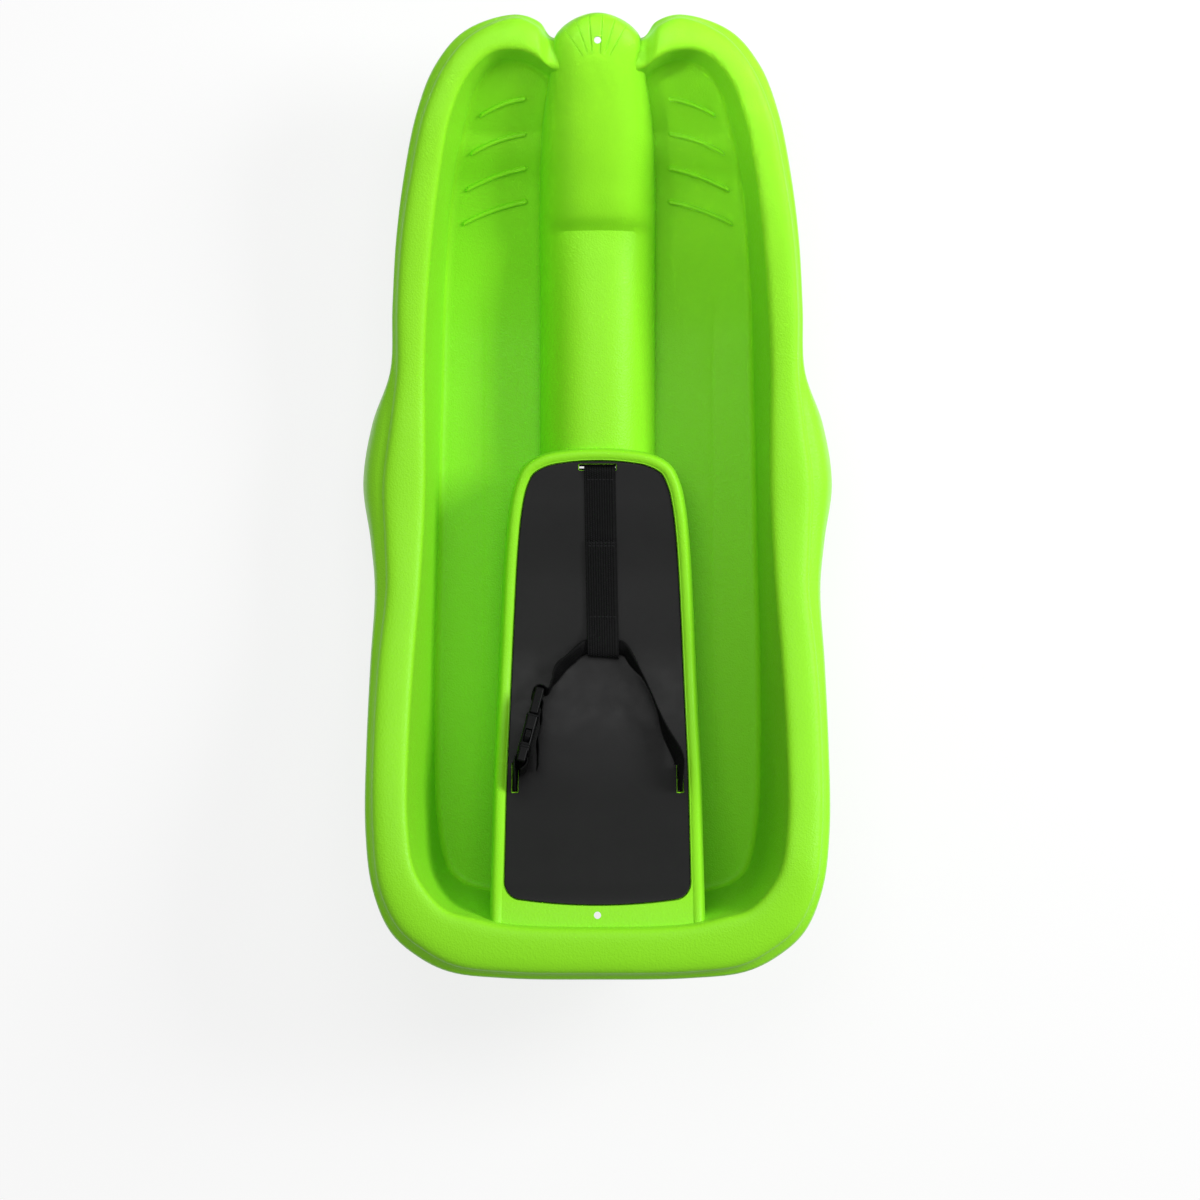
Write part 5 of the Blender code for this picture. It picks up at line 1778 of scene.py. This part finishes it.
    def standing(self, x: float, y: float, sink: float) -> Vector:
        """Middle of the lap webbing where it stands on its edge on the panel."""
        half = self.shape.lap_web_width / 2 / math.cos(self.shape.slope_at(y))
        return Vector((x, y, self.shape.panel_top(y) + half + 0.001 - sink))

    def rise(self, side: Side) -> list[Vector]:
        """The lap webbing out of its slot: up, then turning forward in its own plane."""
        x, y = side.value * self.shape.lap_slot_x, self.shape.lap_slot_y
        top = self.shape.panel_top(y) + 0.001
        found = []
        for turn in self.slot_turns:
            a = math.radians(turn)
            inward = side.value * 0.0012 * turn / self.slot_turns[-1]
            found.append(Vector((x - inward, y + self.web_bend * (1 - math.cos(a)),
                                 top + self.web_bend * math.sin(a))))
        return found

    def lap_route(self) -> list[WebStop]:
        """The long strap: right slot, through the loop, round the plug's end bar and its tail."""
        shape, place = self.shape, self.buckle.matrix()
        level = shape.seat_gap + self.web + self.loop_room / 2
        loop_y = self.end_y + 0.01
        x, y = shape.lap_slot_x, shape.lap_slot_y
        start = self.hem(x, y, shape.lap_web_width + shape.lap_slot_room, Vector((0, -1, 0)))
        rise = [Vector((x, y, shape.under_seat(y) - 0.001)), *self.rise(Side.RIGHT)]
        turned = []
        for i in range(len(rise)):
            run = rise[min(i + 1, len(rise) - 1)] - rise[max(i - 1, 0)]
            lean = self.slot_lean * max(0.0, (i - 1) / (len(rise) - 2))
            turned.append(Vector((1, 0, 0)).cross(run).normalized() + Vector((lean, 0, 0)))

        def upright_run(run: Sequence[RunStop]) -> list[tuple[Vector, Vector, float]]:
            """Stops of a run that stands on its edge and leans forward here and there."""
            found = []
            for i, (px, py, sink, fold, lean) in enumerate(run):
                before, after = run[max(i - 1, 0)], run[min(i + 1, len(run) - 1)]
                ahead = Vector((after[0] - before[0], after[1] - before[1], 0)).normalized()
                leaning = Vector((ahead.y * lean, -ahead.x * lean, 1))
                found.append((self.standing(px, py, sink), leaning, fold))
            return found

        def flat(px: float, back: float = 0.0, up: float = 0.0) -> Vector:
            """A place in the loop."""
            return Vector((px, loop_y - back, shape.panel_top(loop_y) + level + up))

        entering, leaving = ((flat(px, *self.loop_dip), Vector(self.nearly_flat), 1.0) for px in self.at_loop)
        inside = [(flat(px), Vector((0, 1, 0)), 1.0) for px in self.in_loop]
        stages = [*upright_run(self.run_right), entering, *inside, leaving, *upright_run(self.run_left)]
        bar, end_bar = self.buckle.plug_end - self.buckle.end_bar / 2, self.buckle.end_bar
        reach = self.buckle.bar_thickness / 2 + self.web / 2 + self.buckle.moulded_gap
        under = bar - end_bar / 2 - self.buckle.strap_slot / 2
        round_bar = ((reach + 0.0016, bar + 0.0046), (0.0022, bar + end_bar / 2 + 0.0036),
                     (-0.0024, bar + end_bar / 2 + 0.003), (-reach - 0.0002, bar + 0.0012),
                     (-reach + 0.0002, bar - end_bar / 2 - 0.0006), (-0.002, under),
                     (0.001, under - 0.0006), (0.0032, under - 0.0012), (reach + 0.0008, under - 0.005))
        tail = tuple((aside, bar - behind) for aside, behind in self.tail)
        up = place.to_3x3() @ Vector((0, 0, 1))
        stages += [(place @ Vector((px, py, 0.0)), up, 0.0) for px, py in (*round_bar, *tail)]
        centres = [*rise, *(c for c, _, _ in stages)]
        acrosses = [*turned, *(a for _, a, _ in stages)]
        return start + self.eased(centres, acrosses, [0.0] * len(rise) + [f for *_, f in stages], 9)

    def short_route(self) -> list[WebStop]:
        """The left strap, from its slot round the socket's bar and back on itself."""
        shape, place = self.shape, self.buckle.matrix()
        x, y = -shape.lap_slot_x, shape.lap_slot_y
        start = self.hem(x, y, shape.lap_web_width + shape.lap_slot_room, Vector((0, -1, 0)))
        reach = self.buckle.bar_thickness / 2 + self.web / 2 + self.buckle.moulded_gap
        end_bar = self.buckle.end_bar
        inside = end_bar + self.buckle.strap_slot / 2
        round_bar = ((-reach, -0.001), (-reach - 0.0003, end_bar - 0.0001), (-0.0024, inside - 0.0002),
                     (0.0, inside + 0.0003), (0.0024, inside - 0.0002), (reach + 0.0003, end_bar - 0.0001),
                     (reach, -0.001), (0.0022, -0.0065))
        up = place.to_3x3() @ Vector((0, 0, 1))
        rise = [Vector((x, y, shape.under_seat(y) - 0.001)), Vector((x, y, shape.panel_top(y) + 0.002)),
                Vector((x + 0.0002, y + 0.0012, shape.panel_top(y) + 0.0085))]
        stages = [(place @ Vector((px, py, 0.0)), up) for px, py in round_bar]
        acrosses = [Vector((0, -1, 0)), Vector((0, -1, 0)), Vector((0, -0.75, 0.65)), *(a for _, a in stages)]
        centres = [*rise, *(c for c, _ in stages)]
        return start + self.eased(centres, acrosses, [0.0] * len(centres), 9)

    def cross_stitches(self, name: str, y: float, height: float, half: float) -> Piece:
        """A row of stitches across the wide strap.

        Args:
            name: The row's name.
            y: Where it crosses.
            height: Height of the strap's face over the panel.
            half: Half the row's length.

        Returns:
            The stitches.
        """
        middle = self.over(y, height)
        line = [middle + Vector((-half, 0, 0)), middle + Vector((half, 0, 0))]
        tilt = self.shape.slope_at(y)
        return self.weaver.stitch(name, line, Vector((0, -math.sin(tilt), math.cos(tilt))))

    def build(self) -> None:
        """Weave and sew the three straps, each in place of its node."""
        shape, weaver = self.shape, self.weaver
        crotch_finish = WovenWebbing("crotch webbing").material()
        lap_finish = WovenWebbing("lap webbing", thread_scale=700.0).material()
        wide = weaver.twill("crotch_strap_woven", self.crotch_route(), shape.crotch_web_width, crotch_finish)
        top = self.second_layer + self.web / 2 + self.thread_lift
        half = shape.crotch_web_width / 2 - self.seam_margin
        seams = [*(self.seam_y - back for back in self.front_seams), self.loop_y + self.loop_seam]
        rows = [self.cross_stitches(f"seam_{i}", y, top, half) for i, y in enumerate(seams)]
        single = self.lift + self.web / 2 + self.thread_lift
        rows.append(self.cross_stitches("front seam", self.front_ys[0], single, half))
        weaver.joined(wide, rows)
        self.attach(wide,
                    "crotch_strap")
        pivot_y = shape.lap_slot_y
        for name, route, node in (("lap_strap_woven", self.lap_route(), "lap_strap"),
                                  ("short_strap_woven", self.short_route(), "lap_strap_short")):
            strap = weaver.weave(name, route, shape.lap_web_width, lap_finish)
            foot = shape.panel_top(pivot_y)
            self.attach(strap,
                        node)

    def attach(self, strap: Piece, node: str) -> None:
        """Bake a strap's place into its mesh and show it in place of its node.

        Args:
            strap: The strap.
            node: The node that it takes the place of.
        """
        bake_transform(strap)
        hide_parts(node)
        LOG.info("%s: %d faces", strap.name, len(strap.data.polygons))


@dataclass(frozen=True)
class MouldedNylon:
    """Black moulded nylon with a fine spark finish."""

    name: str
    colour: Point = (0.003, 0.003, 0.0032)
    paler: Point = (0.005, 0.005, 0.0053)
    roughness: Pair = (0.28, 0.38)
    refraction: float = 1.53
    shine: float = 0.04
    grain_scale: float = 1800.0
    grain_height: float = 0.00006

    def material(self) -> Material:
        """The finish as a material."""
        kit = NodeKit(self.name)
        kit.feed("Base Color", kit.mix_colour(kit.noise(90.0, 3.0), self.colour, self.paler))
        kit.roughen(350.0, 3.0, self.roughness)
        kit.feed("Normal", kit.bump(kit.noise(self.grain_scale, 3.0, 0.6), 0.3, self.grain_height))
        kit.feed("IOR", self.refraction)
        kit.feed("Specular IOR Level", self.shine)
        return kit.material


class Edge(Enum):
    """The buckle's upper or lower edge, with the sign of its z."""

    UPPER = 1
    LOWER = -1


@dataclass
class SideReleaseBuckle:
    """The socket, the plug with its ladder and the plug's two sprung arms."""

    size: BucklePlace
    finish: MouldedNylon = field(default_factory=lambda: MouldedNylon("buckle nylon"))
    case_rounding: float = 0.0026
    bar_rounding: float = 0.0018
    plug_rounding: float = 0.0016
    rib_width: float = 0.0011
    rib_proud: float = 0.0004
    mouth_rim: float = 0.003
    grip_ridges: int = 3
    ridge_pitch: float = 0.0016
    ridge_width: float = 0.0008
    ridge_proud: float = 0.0003
    slot_rounding: float = 0.0006
    socket_rounding: float = 0.0005
    window_rounding: float = 0.0012
    tongue_rounding: float = 0.0008
    arm_rounding: float = 0.0005
    catch_ridges: int = 4
    turns: int = 5

    def block(self, name: str, low: Point, high: Point, rounding: float = 0.0) -> Piece:
        """A box between two corners in the buckle's own frame, with rounded edges.

        Args:
            name: Its name.
            low: Its lowest corner.
            high: Its highest corner.
            rounding: Radius of its edges.

        Returns:
            The box.
        """
        shape = bmesh.new()
        size = [h - l for l, h in zip(low, high, strict=True)]
        middle = [(h + l) / 2 for l, h in zip(low, high, strict=True)]
        place = Matrix.Translation(middle) @ Matrix.Diagonal((*size, 1))
        bmesh.ops.create_cube(shape, size=1.0, matrix=place)
        mesh = bpy.data.meshes.new(name)
        shape.to_mesh(mesh)
        shape.free()
        made = placed(name, mesh)
        if rounding:
            bevelled(made, rounding, self.turns)
        return made

    def ring(self, name: str, at: float, length: float) -> Piece:
        """A thin raised band round the case.

        Args:
            name: Its name.
            at: Where it begins, along the buckle.
            length: Its length along the buckle.

        Returns:
            The band as a closed solid.
        """
        half_t, half_w = self.size.thickness / 2 + self.rib_proud, self.size.width / 2 + self.rib_proud
        return self.block(name, (-half_t, at, -half_w), (half_t, at + length, half_w), length * 0.42)

    def finished(self, made: Piece, body: str, node: str,
                 material: Material) -> Piece:
        """Put a piece in its place on the sled and give it its finish."""
        made.data.transform(self.size.matrix())
        round_smooth(made, 38.0)
        dress(made, material, body, "buckle_plastic", node)
        return made

    def receptacle(self, material: Material) -> Piece:
        """The socket: a flat case open at the front, with a window for each catch."""
        s = self.size
        half_t, half_w, bar = s.thickness / 2, s.width / 2, s.bar_thickness / 2
        case_start = s.end_bar + s.strap_slot
        made = self.block("buckle_socket", (-half_t, case_start - 0.001, -half_w),
                          (half_t, s.receptacle_length, half_w), self.case_rounding)
        rim = s.receptacle_length - self.mouth_rim
        combine(made, [self.block("bar", (-bar, 0, -half_w), (bar, case_start + s.fused, half_w),
                                  self.bar_rounding),
                       self.ring("mouth rim", rim, self.mouth_rim - 0.0002),
                       self.ring("band", case_start + 0.0032, self.rib_width),
                       self.ring("inner band", case_start + 0.0056, self.rib_width)], Join.ADD)
        web = self.size.shape.lap_web_width / 2 + s.slot_spare
        half_s, half_sw = s.socket_thickness / 2, s.socket_width / 2
        start, length = s.window
        combine(made, [self.block("strap slot", (-s.past, s.end_bar, -web), (s.past, case_start, web),
                                  self.slot_rounding),
                       self.block("socket", (-half_s, case_start + s.socket_floor, -half_sw),
                                  (half_s, s.receptacle_length + s.past, half_sw), self.socket_rounding),
                       self.block("windows", (-half_s, start, -half_w - s.past),
                                  (half_s, start + length, half_w + s.past), self.window_rounding)],
                Join.CUT)
        return self.finished(made, "lap_belt", "buckle_receptacle", material)

    def plug(self, material: Material) -> Piece:
        """The plug: a ladder for the long strap, and a tongue between the two arms."""
        s = self.size
        half_w, bar = s.width / 2, s.bar_thickness / 2
        made = self.block("buckle_ladder", (-bar, s.plug_start, -half_w), (bar, s.plug_end, half_w),
                          self.plug_rounding)
        thick, wide, long = s.tongue
        reach, side = bar + self.ridge_proud, half_w - 0.003
        ridges = []
        for i in range(self.grip_ridges):
            at = s.plug_start + self.ridge_pitch + self.ridge_pitch * i
            ridges.append(self.block(f"grip ridge {i}", (-reach, at, -side),
                                     (reach, at + self.ridge_width, side), self.ridge_proud))
        combine(made, [self.block("tongue", (-thick / 2, s.plug_start - long, -wide / 2),
                                  (thick / 2, s.plug_start + s.fused, wide / 2), self.tongue_rounding),
                       *ridges], Join.ADD)
        web = s.shape.lap_web_width / 2 + s.slot_spare
        starts = [s.plug_start + s.plug_base + i * (s.strap_slot + s.middle_bar) for i in range(2)]
        combine(made, [self.block(f"ladder slot {i}", (-s.past, at, -web),
                                  (s.past, at + s.strap_slot, web), self.slot_rounding)
                       for i, at in enumerate(starts)], Join.CUT)
        return self.finished(made, "lap_belt", "buckle_plug", material)

    def arm(self, edge: Edge, material: Material) -> Piece:
        """One sprung arm, with the ridged catch that shows in the socket's window."""
        s = self.size
        root = s.plug_start - s.moulded_gap
        outer = s.socket_width / 2 - s.arm_gap
        start, length = s.window
        spare = (length - s.catch_length) / 2
        tip, heel = start + spare, start + spare + s.catch_length
        inner, proud, half = outer - s.arm_width, s.width / 2 - s.catch_proud, s.arm_thickness / 2
        outline = ((inner, root), (outer, root), (outer, heel), (proud, heel), (proud, tip + s.catch_lead),
                   (outer, tip), (inner, tip))
        made = lofted(f"buckle_arm_{edge.name.lower()}_moulded",
                      [[(x, y, edge.value * z) for z, y in outline] for x in (-half, half)])
        bevelled(made, self.arm_rounding, 3)
        ridges = []
        for i in range(self.catch_ridges):
            at = heel - 0.0012 - 0.0015 * i
            low, high = sorted((edge.value * (proud - 0.0006), edge.value * (proud + self.ridge_proud)))
            ridges.append(self.block(f"ridge {i}", (-half + self.ridge_width, at - self.ridge_width, low),
                                     (half - self.ridge_width, at, high), self.ridge_proud))
        combine(made, ridges, Join.ADD)
        body = "upper_arm" if edge is Edge.UPPER else "lower_arm"
        return self.finished(made, body, f"buckle_arm_{edge.name.lower()}", material)

    def build(self) -> None:
        """Make the socket, the plug and the arms."""
        material = self.finish.material()
        self.receptacle(material)
        self.plug(material)
        for edge in Edge:
            self.arm(edge, material)


@dataclass
class Keepers:
    """The three plates under the seat that the webbing's ends can't slip back through."""

    shape: SledShape
    finish: MouldedNylon = field(default_factory=lambda: MouldedNylon("keeper nylon", roughness=(0.42, 0.55)))
    thickness: float = 0.003
    margin: float = 0.0065
    corner: float = 0.003
    spare: float = 0.0001
    edge_rounding: float = 0.0007
    web: float = 0.0015
    web_room: float = 0.0004
    crotch_aside: float = 0.002

    def plate(self, name: str, x: float, y: float, slot: Pair, hole: Pair,
              material: Material, aside: float = 0.0) -> Piece:
        """One plate, flat against the underside of the seat, with its slot and a rounded edge.

        Args:
            name: The node that it takes the place of.
            x: The slot's place.
            y: The slot's place.
            slot: The slot's size.
            hole: Size of the plate's own hole, which is closer round the webbing.
            material: The plate's finish.
            aside: How far the hole's middle lies to the right of the slot's.

        Returns:
            The plate.
        """
        half_x, half_y = slot[0] / 2 + self.margin, slot[1] / 2 + self.margin
        outline = round_box(half_x, half_y, self.corner)
        made = upright(f"{name}_plate", outline, -self.thickness / 2, self.thickness / 2)
        bevelled(made, self.edge_rounding, 3, level_only=True)
        tilt = self.shape.slope_at(y)
        drop = self.thickness / 2 + self.shape.seat_gap + self.spare
        place = Vector((x, y, self.shape.under_seat(y))) - drop * Vector((0, -math.sin(tilt), math.cos(tilt)))
        made.data.transform(Matrix.Translation(place) @ Matrix.Rotation(tilt, 4, "X"))
        edge = [(x + aside + a, y + b) for a, b in round_box(hole[0] / 2, hole[1] / 2, 0.0006)]
        combine(made, [upright("keeper slot", edge, 0.0, 0.2)], Join.CUT)
        round_smooth(made, 38.0)
        dress(made, material, "sled", "keeper_plastic", name)
        return made

    def build(self) -> None:
        """Make the three plates."""
        s, material = self.shape, self.finish.material()
        crotch = (s.crotch_web_width + s.crotch_slot_room, s.slot_width)
        lap = (s.slot_width, s.lap_web_width + s.lap_slot_room)
        thin, left = self.web + self.web_room, -crotch[0] / 2 + s.hull_slot_inset
        right = min(-left, self.crotch_aside + s.crotch_web_width / 2 + 0.0002)
        self.plate("crotch_keeper", 0.0, s.crotch_slot_y, crotch, (right - left, thin), material,
                   (right + left) / 2)
        for name, side in (("lap_keeper_right", Side.RIGHT), ("lap_keeper_left", Side.LEFT)):
            self.plate(name, side.value * s.lap_slot_x, s.lap_slot_y, lap,
                       (thin, s.lap_web_width + 0.0001), material)


def main() -> None:
    """Build the sled's pieces in order and report each."""
    logging.basicConfig(level=logging.INFO, format="%(name)s %(message)s")
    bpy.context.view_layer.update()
    shape = SledShape()
    HullMoulding(shape).build()
    SeatPanel(shape).build()
    buckle = BucklePlace(shape)
    Keepers(shape).build()
    Harness(shape, StrapWeaver(shape), buckle).build()
    SideReleaseBuckle(buckle).build()
    Studio().build()


if __name__ == "__main__":
    main()
